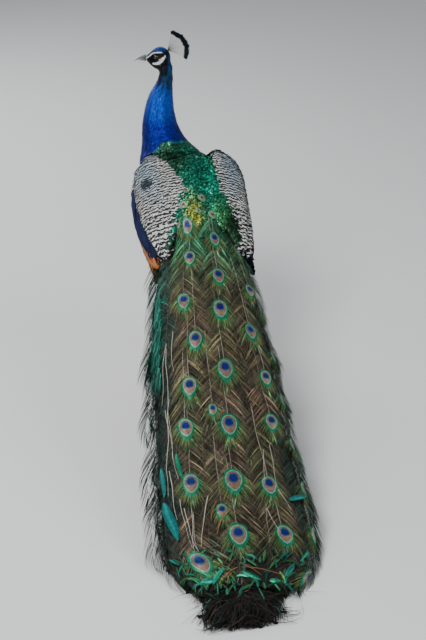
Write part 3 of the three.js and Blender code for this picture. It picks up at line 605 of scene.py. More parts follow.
def plumage(points):
    """Tint and marks of the skin and the coat at points: edged, barred, and a spare 0."""
    names = nearest_node(points)
    station, _, out = spine_field(points)
    mantle_front = -224 - 0.012 * np.maximum(32 - points[:, 0], 0) ** 2
    back = smooth(out[:, 2] + 0.9 * out[:, 1], 0.30, 0.65)
    back = back * smooth(points[:, 1] - mantle_front, -3, 3)
    bars = in_bars(points, out)
    coverts = np.char.endswith(names, "coverts")
    scapular = bars & np.isin(names, ("trunk", "rump", "neck_lower"))
    between = (points[:, 1] > BARS_FRONT + 20) & (np.abs(points[:, 0]) < 120) & (out[:, 2] > 0.25)
    green = coverts & ~bars & between
    names = np.where(scapular, np.where(points[:, 0] > 0, "wing_left_coverts", "wing_right_coverts"), names)
    names = np.where(green, "trunk", names)
    ahead = ahead_of_rump(points)
    below = nearest_node(points - UP * 11)
    low = (below == "wing_left_primaries") & (ahead < 60)
    low |= (points[:, 2] < CHESTNUT_TOP + CHESTNUT_SLOPE * np.minimum(ahead, 0)) & (ahead < 30)
    rufous = (names == "wing_left_secondaries") & low
    names = np.where(rufous, "wing_left_primaries", names)
    shoulder = (names == "wing_left_secondaries") & (ahead > 110) & (points[:, 0] < 152)
    names = np.where(shoulder, "wing_left_coverts", names)
    names = np.where((names == "wing_right_secondaries") & (ahead > -38), "wing_right_coverts", names)
    names = np.where((names == "wing_right_primaries") & (ahead < -45), "wing_right_secondaries", names)
    back = np.where(green, 1.0, back)
    wing = np.char.startswith(names, "wing")
    colour = neck_colour(points, out)
    colour = mix(colour, BELLY, (1 - smooth(points[:, 2], 380, 470)) * (1 - back))
    colour = mix(colour, back_colour(points), back)
    head = names == "head"
    colour = np.where(head[:, None], head_colour(points), colour)
    colour = np.where(wing[:, None], wing_colour(points, names), colour)
    colour = np.where(np.char.startswith(names, "thigh")[:, None], THIGH_BUFF, colour)
    edged = back * ~(head | wing) * 0.95
    barred = np.char.endswith(names, "coverts") * 1.0
    return colour, np.stack([edged, barred, np.zeros(len(points))], axis=1), names, station


BAR_AHEAD = np.arange(-600.0, 601.0, 10.0)
BAR_PACE = 0.60 + 0.40 * smooth(BAR_AHEAD, 30, 150)
BAR_RUN = np.cumsum(BAR_PACE) * 10


def bar_pace(points):
    """How close the wing's bars are, which widen toward the rear."""
    return np.interp(ahead_of_rump(points), BAR_AHEAD, BAR_PACE)


def body_travel(points):
    """Distance behind the shoulder as the wing's bars count it, on skin and coat alike."""
    return -np.interp(ahead_of_rump(points), BAR_AHEAD, BAR_RUN)


def body_patches(points):
    """Places on an unwrap of the body: round the spine, and along it."""
    station, way, out = spine_field(points)
    sideways = unit(np.cross(way, np.broadcast_to((1.0, 0.0, 0.0), way.shape)) + 1e-6)
    turn = np.arctan2(out[:, 0], (out * sideways).sum(1)) / (2 * math.pi) + 0.5
    return np.stack([turn, station], axis=1) * 0.97 + 0.015


# ---- feathers -----------------------------------------------------------------------------------


def strip_faces(count, rows, columns):
    """Faces of count strips, each of rows by columns points."""
    base = np.arange(count)[:, None, None] * rows * columns
    row = np.arange(rows - 1)[:, None] * columns
    start = base + row + np.arange(columns - 1)
    return np.stack([start, start + 1, start + columns + 1, start + columns], axis=-1).reshape(-1, 4)


def strips(centres, sides, normals, halves, across=(-1.0, 0.0, 1.0), camber=0.18):
    """Points of thin curved strips, and how far across and along each point is."""
    across = np.array(across)
    count, rows = centres.shape[:2]
    out = (halves[..., None] * across)[..., None] * sides[:, :, None]
    sunk = (halves[..., None] * camber * across**2)[..., None] * normals[:, :, None]
    points = centres[:, :, None] + out - sunk
    shape = (count, rows, len(across))
    along = np.broadcast_to(np.linspace(0, 1, rows)[None, :, None], shape)
    return points, np.broadcast_to(across, shape), along


def march(surface, roots, ways, lengths, stations, low, high):
    """Rows of feathers' shafts that lie along ways on the surface, rising from low to high over it."""
    spot, normal = surface.nearest(roots)
    way = ways
    last = 0.0
    rows = []
    for share in stations:
        spot, normal = surface.nearest(spot + way * (lengths * (share - last))[:, None])
        way = unit(way - (way * normal).sum(1, keepdims=True) * normal)
        height = low + (high - low) * share
        rows.append((spot + normal * height[:, None], way, normal))
        last = share
    return [np.stack(part, axis=1) for part in zip(*rows)]


def lay(surface, roots, ways, lengths, widths, low, high, outline, stations=None):
    """Feathers as strips over a surface: points, across, along and shaft points."""
    count = len(roots)
    stations = np.linspace(0, 1, len(outline)) if stations is None else stations
    lift = np.full(count, high) * RNG.uniform(0.8, 1.15, count)
    centres, way, normals = march(surface, roots, ways, lengths, stations, low, lift)
    sides = unit(np.cross(normals, way))
    halves = widths[:, None] / 2 * np.array(outline)
    return strips(centres, sides, normals, halves)


def turned(ways, normals, angles):
    """Ways turned about the normals."""
    other = np.cross(normals, ways)
    return ways * np.cos(angles)[:, None] + other * np.sin(angles)[:, None]


SMALL_OUTLINE = (0.45, 0.95, 1.0, 0.72, 0.18)
LONG_OUTLINE = (0.55, 0.85, 1.0, 1.0, 1.0, 0.98, 0.94, 0.84, 0.62, 0.22)


def feather_layers(tints, marks, travel, across, along, lengths, vary=0.22):
    """The attributes of strips, from values at their roots, with each feather's tone varied."""
    shape = across.shape
    noise = np.exp(RNG.normal(0, vary, len(tints)))[:, None]
    travel = travel + RNG.normal(0, 0.7, len(travel))
    rows = tints[:, None] if tints.ndim == 2 else tints
    tint = np.broadcast_to((rows * noise[..., None])[:, :, None], (*shape, 3))
    tint = np.concatenate([tint, np.ones((*shape, 1))], axis=-1)
    run = travel[:, None, None] + along * lengths[:, None, None]
    vane = np.stack([across, along, run], axis=-1)
    mark = np.broadcast_to(marks[:, None, None], (*shape, 3))
    return {"Tint": tint.reshape(-1, 4), "Vane": vane.reshape(-1, 3), "Mark": mark.reshape(-1, 3)}


PATCH = 0.003


def feather_patches(roots, across, along):
    """Each feather's patch at its root's place on the unwrap."""
    offset = np.stack([across * PATCH / 2, (along - 0.5) * PATCH], axis=-1)
    return roots[:, None, None] + offset


def coat(name, surface, spacing, length, width, heights, wanted, material,
         ways=None, outline=SMALL_OUTLINE, spread=9.0, colour=None, patches=body_patches, vary=0.15):
    """A tract of feathers over a surface, where wanted() holds. ways and colour are functions of roots."""
    roots, outer = surface.scatter(spacing, wanted)
    tints, marks, _, _ = plumage(outer)
    if colour is not None:
        tints = colour(roots)
    _, normals = surface.nearest(roots)
    lie = spine_field(roots)[1] if ways is None else ways(roots)
    lie = unit(lie - (lie * normals).sum(1, keepdims=True) * normals)
    lie = turned(lie, normals, np.radians(RNG.normal(0, spread, len(roots))))
    lengths = length * RNG.uniform(0.85, 1.15, len(roots))
    widths = width * RNG.uniform(0.88, 1.12, len(roots))
    points, across, along = lay(surface, roots, lie, lengths, widths, *heights, outline)
    layers = feather_layers(tints, marks, body_travel(roots), across, along, lengths * bar_pace(roots), vary)
    spots = feather_patches(patches(roots), across, along)
    faces = strip_faces(*points.shape[:3])
    return new_piece(name, points, faces, material, (), layers, spots)


# ---- skin ---------------------------------------------------------------------------------------


def coat_depth(points, names):
    """How far the skin lies inside the solids."""
    depth = np.full(len(points), BODY_COAT)
    blend = smooth(points[:, 2], 570, 650)
    blended = BODY_COAT + (NECK_COAT - BODY_COAT) * blend
    depth = np.where(np.char.startswith(names, "neck") | (names == "trunk"), blended, depth)
    on_head = smooth(points[:, 2], 800, 835)
    return depth * (1 - on_head) + HEAD_COAT * on_head


def lidded(points, normals):
    """The skin's points round the eyes raised into lids and the bare stripes slightly swollen."""
    raised = np.zeros(len(points))
    for side in (1, -1):
        eye = head_place(0, side * EYE_SIDE, EYE_RISE)
        away = points - eye
        ahead = away @ HEAD_AHEAD
        up = away[:, 2]
        radius = np.hypot(ahead / 1.12, up)
        outer = (away @ HEAD_LEFT) * side > -4
        ring = np.exp(-((radius - 7.6) / 1.5) ** 2) * 1.5
        socket = (1 - smooth(radius, 4.8, 7.0)) * -3.6
        raised += np.where(outer, ring + socket, 0)
    raised += facial_white(points) * 0.7
    return points + normals * raised[:, None]


def subdivided_head(points, faces):
    """Faces of the head split in four twice, so that lids and stripes have points to be made of."""
    for _ in range(2):
        ahead, side, rise = in_head(points[faces].mean(axis=1))
        fine = (np.hypot(ahead, rise) < 38) & (np.abs(side) < 40) & (rise > -34)
        points, faces = split_quads(points, faces, fine)
    return points, faces


def split_quads(points, faces, chosen):
    """Each chosen four-cornered face as four. A face beside them that isn't chosen keeps its long edge."""
    split = faces[chosen]
    corners = points[split]
    edges = np.sort(np.stack([split, np.roll(split, -1, axis=1)], axis=-1).reshape(-1, 2), axis=1)
    unique, where = np.unique(edges, axis=0, return_inverse=True)
    middles = points[unique].mean(axis=1)
    first = len(points)
    edge = first + where.reshape(-1, 4)
    centre = first + len(unique) + np.arange(len(split))
    quads = [
        np.stack([split[:, k], edge[:, k], centre, edge[:, k - 1]], axis=1)
        for k in range(4)
    ]
    points = np.concatenate([points, middles, corners.mean(axis=1)])
    return points, np.concatenate([faces[~chosen], *quads])


def make_skin(envelope):
    """One skin for all the flesh, inside the solids by the coat's depth, with the coat's markings, darkened
    as painted shade under the coat but on the head.
    """
    points, faces = envelope.points, envelope.faces
    fine_points, fine_faces = subdivided_head(points, faces)
    tints, marks, names, _ = plumage(fine_points)
    skin_normals = Surface(fine_points, fine_faces).normals
    inside = fine_points - skin_normals * coat_depth(fine_points, names)[:, None]
    inside = relaxed(inside, fine_faces, 2)
    skin_normals = Surface(inside, fine_faces).normals
    inside = lidded(inside, skin_normals)
    # Painted shade: under the coat the skin is darkened to 0.7 of the coat's tint, as the shade in the gaps
    # between feathers; the head keeps its full tint.
    tint = np.concatenate([tints * 0.7, np.ones((len(tints), 1))], axis=1)
    tint[names == "head", :3] = tints[names == "head"]
    vane = np.stack([np.zeros(len(tints)), np.full(len(tints), 0.4), body_travel(fine_points)], axis=1)
    layers = {"Tint": tint, "Vane": vane, "Mark": marks}
    new_piece("Skin", inside, fine_faces, MATT_PLUME, FLESH, layers)
    return Surface(inside, fine_faces, fine_points)


# ---- body, head and wing feathers -----------------------------------------------------------------


BACK_MARK = 0.35  # scaled feathers of the back lie where the edged mark is above this
LESSER_AHEAD = 130  # the wing's small coverts lie ahead of this


def named(*endings):
    """A test for points whose nearest solid's name ends or starts with one of the endings."""
    def test(points, normals):
        _, marks, names, _ = plumage(points)
        found = np.zeros(len(points), bool)
        for ending in endings:
            found |= np.char.endswith(names, ending) | np.char.startswith(names, ending)
        return found & (marks[:, 0] <= BACK_MARK)
    return test


def feathered_head(points, normals):
    """The head outside its bare stripes, eyes and bill."""
    ahead, _, rise = in_head(points)
    clear = np.hypot(ahead / 1.12, rise - EYE_RISE) > 8.6
    return named("head")(points, normals) & clear & (facial_white(points) < 0.25) & (ahead < 23)


def on_back(points, normals):
    """Where the back's scales lie."""
    _, marks, _, _ = plumage(points)
    return marks[:, 0] > BACK_MARK


def off_back(points, normals):
    """Trunk and rump outside the back's scales."""
    _, marks, names, _ = plumage(points)
    return (marks[:, 0] <= BACK_MARK) & np.isin(names, ("trunk", "rump"))


def wing_way(points):
    """Back along the wing, closing a little to the middle."""
    way = np.broadcast_to(-TRUNK_AHEAD, points.shape).copy()
    way[:, 0] -= np.sign(points[:, 0]) * 0.10
    return unit(way)


def lying_in(node, length):
    """A test for roots whose feather of a length ends over the same tract as it starts in."""
    starts = named(node)

    def test(points, normals):
        ends = points + wing_way(points) * length
        return starts(points, normals) & (plumage(ends)[2] == node)
    return test


def lesser(node):
    """A test for the small coverts over a wing's shoulder."""
    in_tract = named(node)

    def test(points, normals):
        return in_tract(points, normals) & (ahead_of_rump(points) > LESSER_AHEAD)
    return test


def greater(node):
    """A test for the larger coverts behind them."""
    in_tract = named(node)

    def test(points, normals):
        return in_tract(points, normals) & (ahead_of_rump(points) <= LESSER_AHEAD + 20)
    return test


def thigh_way(points):
    """Down the thigh and a little back."""
    return np.broadcast_to(unit(np.array((0.0, 0.35, -1.0))), points.shape)


def make_coat(skin):
    """The coat, tract by tract: spacing, length and width in mm, and how high roots and tips stand."""
    coat("Head_feathers", skin, 2.2, 5.0, 2.8, (0.0, 1.2), feathered_head, PLUME)
    coat("Neck_feathers", skin, 4.6, 13.0, 7.0, (0.4, 3.6), named("neck_"), PLUME)
    coat("Breast_feathers", skin, 7.5, 21.0, 12.0, (0.5, 5.4), off_back, PLUME)
    coat("Back_scales", skin, 6.0, 16.0, 11.0, (0.8, 5.2), on_back, PLUME,
         spread=4.0, vary=0.42)
    coat("Thigh_feathers", skin, 7.5, 24.0, 9.0, (0.5, 5.0), named("thigh"), MATT_PLUME,
         ways=thigh_way)
    for side in ("left", "right"):
        node = f"wing_{side}_"
        coat(f"Wing_{side}_lesser", skin, 7.0, 20.0, 13.0, (1.0, 5.4),
             lesser(node + "coverts"), MATT_PLUME, wing_way, spread=6.0, vary=0.1)
        coat(f"Wing_{side}_coverts", skin, 11.0, 36.0, 21.0, (1.0, 5.8),
             greater(node + "coverts"), MATT_PLUME, wing_way, spread=4.0, vary=0.08)
        coat(f"Wing_{side}_secondaries", skin, 13.0, 96.0, 20.0, (1.0, 4.8),
             lying_in(node + "secondaries", 80), MATT_PLUME, wing_way, LONG_OUTLINE, 2.0)
        coat(f"Wing_{side}_primaries", skin, 10.0, 92.0, 15.0, (1.2, 6.0),
             lying_in(node + "primaries", 80), MATT_PLUME, wing_way, LONG_OUTLINE, 2.0)


# ---- eyes, bill, crest, legs ----------------------------------------------------------------------


def horn_piece(node, material, voxel, rounds, axis, name=None, shape=None):
    """A finer, smoother copy of a solid, which replaces it. Tint's red runs from 0 to 1 along axis."""
    surface = remeshed((node,), voxel, rounds)
    points = surface.points if shape is None else shape(surface.points, surface.normals)
    along = points @ np.asarray(axis, float)
    share = (along - along.min()) / max(np.ptp(along), 1e-6)
    tint = np.stack([share, share, share, np.ones(len(share))], axis=1)
    new_piece(name or node.capitalize(), points, surface.faces, material, (node,), {"Tint": tint})


def with_nostril(points, normals):
    """The upper bill with a slit nostril on each side."""
    ahead, side, rise = in_head(points)
    along = (ahead - 31) / 4.2
    height = (rise + 0.8 + 0.12 * (ahead - 30)) / 1.5
    hole = 1 - smooth(along**2 + height**2, 0.5, 1.3)
    return points - normals * (hole * (np.abs(side) > 2.5) * 2.2)[:, None]


def make_bill():
    """Both halves of the bill."""
    material = horn_material("Bill horn", (0.030, 0.031, 0.036), (0.22, 0.22, 0.21), 0.32)
    horn_piece("bill_upper", material, 0.55, 5, HEAD_AHEAD, "Bill_upper", with_nostril)
    horn_piece("bill_lower", material, 0.55, 5, HEAD_AHEAD, "Bill_lower")


def make_eyes():
    """Two round eyes, set a little forward."""
    material = eye_material()
    rings, turns = 18, 32
    for side, name in ((1, "left"), (-1, "right")):
        axis = unit(HEAD_LEFT * side + HEAD_AHEAD * 0.10)
        flat = unit(np.cross(UP, axis))
        top = np.cross(axis, flat)
        tilt = np.linspace(0, math.pi, rings)[:, None, None]
        turn = np.linspace(0, 2 * math.pi, turns, endpoint=False)[None, :, None]
        away = axis * np.cos(tilt) + (flat * np.cos(turn) + top * np.sin(turn)) * np.sin(tilt)
        points = (head_place(0, side * EYE_SIDE, EYE_RISE) + away * EYE_RADIUS).reshape(-1, 3)
        share = np.repeat(np.sin(np.minimum(tilt[:, 0, 0], math.pi / 2)), turns)
        tint = np.stack([share, share, share, np.ones(len(share))], axis=1)
        row = np.arange(rings - 1)[:, None] * turns
        column = np.arange(turns)
        following = (column + 1) % turns
        near, far = row + column, row + following
        faces = np.stack([near, near + turns, far + turns, far], axis=-1).reshape(-1, 4)
        new_piece(f"Eye_{name}", points, faces, material, (f"eye_{name}",), {"Tint": tint})


CREST_AHEAD = -30.0
CREST_RISE = 21.0
CREST_FEATHERS = 23
CREST_REACH = 63.0
CREST_FROM = math.radians(-19)
CREST_TO = math.radians(78)


def make_crest():
    """A fan of bare shafts in the head's median plane, each with a dark tufted tip."""
    turn = np.linspace(CREST_FROM, CREST_TO, CREST_FEATHERS)
    lean = RNG.normal(0, 0.055, CREST_FEATHERS)
    back = -HEAD_AHEAD * np.cos(turn)[:, None] + UP * np.sin(turn)[:, None] + HEAD_LEFT * lean[:, None]
    back = unit(back)
    reach = CREST_REACH * RNG.uniform(0.99, 1.03, CREST_FEATHERS)
    root = head_place(CREST_AHEAD, 0, CREST_RISE) - back * 2
    rows = 9
    share = np.linspace(0, 1, rows)
    centres = root[:, None] + back[:, None] * (reach[:, None] * share)[..., None]
    side = np.broadcast_to(HEAD_LEFT, centres.shape)
    flat = unit(np.cross(back, HEAD_LEFT))[:, None] * np.ones((1, rows, 1))
    halves = np.broadcast_to(np.linspace(0.32, 0.16, rows), centres.shape[:2])
    parts = [strips(centres, side, flat, halves), strips(centres, flat, side, halves)]
    tints = np.tile(np.array(SHAFT_PALE) * 0.3, (CREST_FEATHERS, 1))
    place_strips("Crest_shafts", parts, tints, SHAFT_HORN, ("crest",))
    barbs = 44
    start = np.repeat(centres[:, -1] - back * 15, barbs, axis=0)
    way = np.repeat(back, barbs, axis=0)
    across = np.repeat(flat[:, 0], barbs, axis=0) * RNG.uniform(-0.42, 0.42, (len(way), 1))
    way = unit(way + across + HEAD_LEFT * RNG.uniform(-0.22, 0.22, (len(way), 1)))
    start = start + way * RNG.uniform(0, 5, (len(way), 1))
    ending = np.repeat(np.sin(np.linspace(0.12, 0.93, CREST_FEATHERS) * math.pi), barbs)
    length = RNG.uniform(9, 15, len(way)) * (0.55 + 0.45 * ending)
    rows = 4
    centres = start[:, None] + way[:, None] * (length[:, None] * np.linspace(0, 1, rows))[..., None]
    side = unit(np.cross(way, HEAD_LEFT))[:, None] * np.ones((1, rows, 1))
    out = np.broadcast_to(HEAD_LEFT, centres.shape)
    halves = np.broadcast_to(np.array((0.4, 1.1, 1.0, 0.2)), centres.shape[:2])
    tints = mix(np.array(TEAL_BLUE) * 0.5, NIGHT, RNG.uniform(0.5, 1.0, len(way)))
    place_strips("Crest_tips", [strips(centres, side, out, halves)], tints, PLUME)


STRIP_TRAVEL = 30.0  # how far the barbs' ridges run along a loose strip


def place_strips(name, parts, tints, material, replaces=(), roots=None):
    """One piece from strips that share their feathers' tints. roots are their places on an unwrap."""
    layers, spots, faces, start = [], [], [], 0
    roots = body_patches(parts[0][0][:, 0, 1]) if roots is None else roots
    count = len(tints)
    plain, none, reach = np.zeros((count, 3)), np.zeros(count), np.full(count, STRIP_TRAVEL)
    for strip, across, along in parts:
        layers.append(feather_layers(tints, plain, none, across, along, reach))
        spots.append(feather_patches(roots, across, along).reshape(-1, 2))
        faces.append(strip_faces(*strip.shape[:3]) + start)
        start += strip.shape[0] * strip.shape[1] * strip.shape[2]
    points = np.concatenate([part[0].reshape(-1, 3) for part in parts])
    merged = {key: np.concatenate([layer[key] for layer in layers]) for key in layers[0]}
    faces = np.concatenate(faces)
    return new_piece(name, points, faces, material, replaces, merged, np.concatenate(spots))


def scuted(points, normals):
    """Plates across the front of the shank."""
    front = smooth(-normals[:, 1], 0.1, 0.5)
    saw = (points[:, 2] / 7.5) % 1.0
    return points + normals * ((saw - 0.5) * 0.9 * front)[:, None]


def make_legs():
    """Shanks, feet, spurs and claws."""
    material = scale_material("Leg scales", (0.19, 0.165, 0.135), (0.045, 0.038, 0.030))
    claw = horn_material("Claw horn", (0.055, 0.046, 0.038), (0.022, 0.019, 0.017), 0.35)
    for side in ("left", "right"):
        horn_piece(f"shank_{side}", material, 1.3, 3, UP, f"Shank_{side}", scuted)
        horn_piece(f"foot_{side}", material, 1.1, 2, UP, f"Foot_{side}")
        horn_piece(f"spur_{side}", claw, 0.6, 2, (0, 1, 0), f"Spur_{side}")
        for toe in ("inner", "middle", "outer", "hind"):
            axis = (0, 1, 0) if toe == "hind" else (0, -1, 0)
            horn_piece(f"claw_{side}_{toe}", claw, 0.6, 2, axis, f"Claw_{side}_{toe}")


# ---- camera and stage -----------------------------------------------------------------------------

PHOTO_WIDE = 426
PHOTO_HIGH = 640
CAMERA_AZIMUTH = math.radians(15)
CAMERA_AWAY = 4467.0
CAMERA_HEIGHT = 2527.0
CAMERA_PITCH = math.radians(27.93)
CAMERA_ROLL = math.radians(1.9)
CAMERA_YAW = math.radians(0.561)
FOCAL_PIXELS = 1750.0
SENSOR = 36.0


def camera_axes():
    """The camera's place, and its ways forward, right and up."""
    back = np.array((math.sin(CAMERA_AZIMUTH), math.cos(CAMERA_AZIMUTH), 0))
    place = back * CAMERA_AWAY + UP * CAMERA_HEIGHT
    forward = -back * math.cos(CAMERA_PITCH) - UP * math.sin(CAMERA_PITCH)
    right = unit(np.cross(forward, UP))
    up = np.cross(right, forward)
    roll_cos, roll_sin = math.cos(CAMERA_ROLL), math.sin(CAMERA_ROLL)
    right, up = right * roll_cos + up * roll_sin, up * roll_cos - right * roll_sin
    forward = forward * math.cos(CAMERA_YAW) + right * math.sin(CAMERA_YAW)
    return place, forward, np.cross(forward, up), up


def photo_ray(across, down):
    """The camera's place, and the way that it sees a pixel of the photograph."""
    place, forward, right, up = camera_axes()
    way = forward + right * (across - PHOTO_WIDE / 2) / FOCAL_PIXELS
    return place, unit(way - up * (down - PHOTO_HIGH / 2) / FOCAL_PIXELS)


def make_camera():
    """The photograph's view."""
    place, forward, right, up = camera_axes()
    data = bpy.data.cameras.new("Camera")
    data.sensor_width = SENSOR
    data.lens = SENSOR * FOCAL_PIXELS / PHOTO_HIGH
    data.clip_end = 100
    camera = bpy.data.objects.new("Camera", data)
    turn = Matrix((right, up, -forward)).transposed().to_4x4()
    camera.matrix_world = Matrix.Translation((place + SHIFT) / 1000) @ turn
    bpy.context.scene.collection.objects.link(camera)
    bpy.context.scene.camera = camera


def area_light(name, place, target, size, power):
    """A round lamp of size metres, turned to its target."""
    data = bpy.data.lights.new(name, "AREA")
    data.shape = "DISK"
    data.size = size
    data.energy = power
    light = bpy.data.objects.new(name, data)
    light.location = place
    light.rotation_euler = (Vector(target) - Vector(place)).to_track_quat("-Z", "Y").to_euler()
    bpy.context.scene.collection.objects.link(light)


def make_stage():
    """A pale floor under soft studio light."""
    shader = Shader("Pale floor")
    material = shader.finish((0.62, 0.62, 0.61, 1), 0.8)
    mesh = bpy.data.meshes.new("Floor")
    mesh.from_pydata([(-8, -8, 0), (8, -8, 0), (8, 8, 0), (-8, 8, 0)], [], [(0, 1, 2, 3)])
    mesh.materials.append(material)
    floor = bpy.data.objects.new("Floor", mesh)
    bpy.context.scene.collection.objects.link(floor)
    world = bpy.data.worlds.new("Studio")
    world.use_nodes = True
    world.node_tree.nodes["Background"].inputs[0].default_value = (0.86, 0.93, 1.0, 1)
    world.node_tree.nodes["Background"].inputs[1].default_value = 0.42
    bpy.context.scene.world = world
    area_light("Key", (1.9, 1.4, 3.4), (0, 0, 0.3), 1.8, 170)
    area_light("Fill", (-2.6, 1.2, 2.2), (0, 0, 0.4), 2.2, 40)
    area_light("Front", (0.8, -2.8, 2.0), (0, 0, 0.4), 2.2, 55)


# ---- train --------------------------------------------------------------------------------------

# Where the photograph shows eye spots: across and down in its pixels, and each one's half width in mm.
EYE_SPOT_PIXELS = (
    (178, 223.6, 7), (188.5, 227.7, 10), (213.4, 237.8, 11), (235.9, 251.2, 9), (189.7, 259.3, 12),
    (217.2, 276.7, 13), (249.8, 291.4, 10), (184.8, 302.4, 13), (220.7, 310.5, 15), (250.6, 331.8, 12),
    (193.8, 338.8, 14), (225.2, 366.7, 16), (264.7, 375.9, 12), (189.7, 385, 15), (214.2, 408.8, 9),
    (185.8, 429.8, 15), (230.6, 425.9, 17), (271.7, 423.9, 13), (192.7, 483.6, 16), (235.4, 481.9, 18),
    (268.6, 485.7, 15), (219.8, 509.8, 11), (240.1, 534.4, 18), (286, 532.7, 16), (198.8, 561.7, 18),
)
BACK_SPOT_PIXELS = (
    (187, 189, 4.5), (183, 202, 5.5), (203, 197, 6), (216, 191, 4.5), (223, 198, 4.5),
    (212, 215, 6.5), (198, 214, 4), (222, 219, 5.5),
)
# The far flank, which the photograph doesn't show: behind, share of the half width, and half width in mm.
FAR_SPOTS = tuple((behind, -1.02, 11 + behind / 220) for behind in range(250, 1100, 135))

# Loose coloured vanes: from one pixel to another, width in mm, and colour.
LOOSE_VANES = (
    ((165, 502), (177, 543), 17, (0.004, 0.170, 0.165)),
    ((160, 470), (164, 497), 9, (0.004, 0.130, 0.120)),
    ((176, 455), (184, 478), 8, (0.006, 0.160, 0.085)),
    ((289, 500), (305, 497), 10, (0.004, 0.140, 0.130)),
    ((222, 571), (214, 583), 8, (0.004, 0.170, 0.110)),
    ((200, 584), (216, 582), 15, (0.004, 0.140, 0.090)),
    ((268, 580), (281, 590), 9, (0.006, 0.180, 0.080)),
    ((242, 572), (262, 583), 9, (0.004, 0.110, 0.060)),
    ((285, 578), (293, 566), 8, (0.004, 0.130, 0.100)),
    ((237, 592), (248, 588), 6, (0.004, 0.170, 0.100)),
)
COPPER_STRANDS = (
    ((236, 566), (226, 578)), ((236, 568), (221, 592)), ((240, 565), (262, 576)), ((230, 508), (218, 530)),
    ((244, 567), (285, 580)), ((216, 500), (209, 520)), ((233, 574), (228, 590)), ((226, 512), (216, 534)),
)
BARE_SHAFTS = (
    ((165, 343), (163, 405)), ((167, 350), (172, 462)), ((166, 410), (178, 478)), ((171, 400), (169, 500)),
    ((163, 372), (150, 405)), ((170, 470), (176, 520)), ((182, 500), (193, 549)), ((184, 508), (198, 551)),
    ((193, 512), (200, 552)), ((209, 496), (202, 545)), ((263, 452), (264, 486)), ((270, 448), (280, 494)),
    ((278, 490), (291, 512)), ((264, 505), (268, 545)), ((267, 507), (279, 532)), ((172, 330), (174, 372)),
)

SPOT_GROWTH = 1.15  # the pixels' half widths are of the tan disc; this takes in its pale rim
SPOT_TAIL = 3.3  # how far a feather runs past its spot's centre, as a multiple of the spot's half width
GRID_BEHIND = np.arange(-100.0, 1101.0, 15.0)
GRID_SHARE = np.linspace(-1.3, 1.3, 53)
HALO_BARBS = 46
HALO_GOLD = (0.078, 0.105, 0.024)
PIECE_BARBS = 18000
EDGE_SHARE = 1.02  # loose barbs leave the train's side here and stand out from it
VISIBLE_REACH = 235.0  # how much of a feather shows past the feathers that lie over it
BARB_SPACING = 4.6
BARB_LENGTH = 80.0
BARB_HALF = 0.85
BARBS_FROM = -6.0  # behind the rump's centre, where scales give way to loose barbs
EDGE_BARBS = 1500
EDGE_BARBS_ANYWHERE = 900  # of them; the others stand by the left flank near the root
END_VANES = 110
PLUMES = 1500
PLUME_LOCKS = 61  # groups of dark plumes that curl alike
TRAIN_LIMIT = np.array((336.0, 1222.0, 60.0))  # how far left, back and up the strewn plumes may come


def train_place(behind, out, height):
    """A point of the train from how far behind the rump, out to its left, and how high it is."""
    ahead = np.maximum(behind, 0)
    share = ahead / TRAIN_REACH
    swing = TRAIN_SWING - TRAIN_STRAIGHTENING * share / 2
    heading = TRAIN_SWING - TRAIN_STRAIGHTENING * share
    across = ahead * np.sin(swing) + out * np.cos(heading)
    along = ahead * np.cos(swing) + np.minimum(behind, 0) - out * np.sin(heading)
    return np.stack(np.broadcast_arrays(across, along, height), axis=-1)


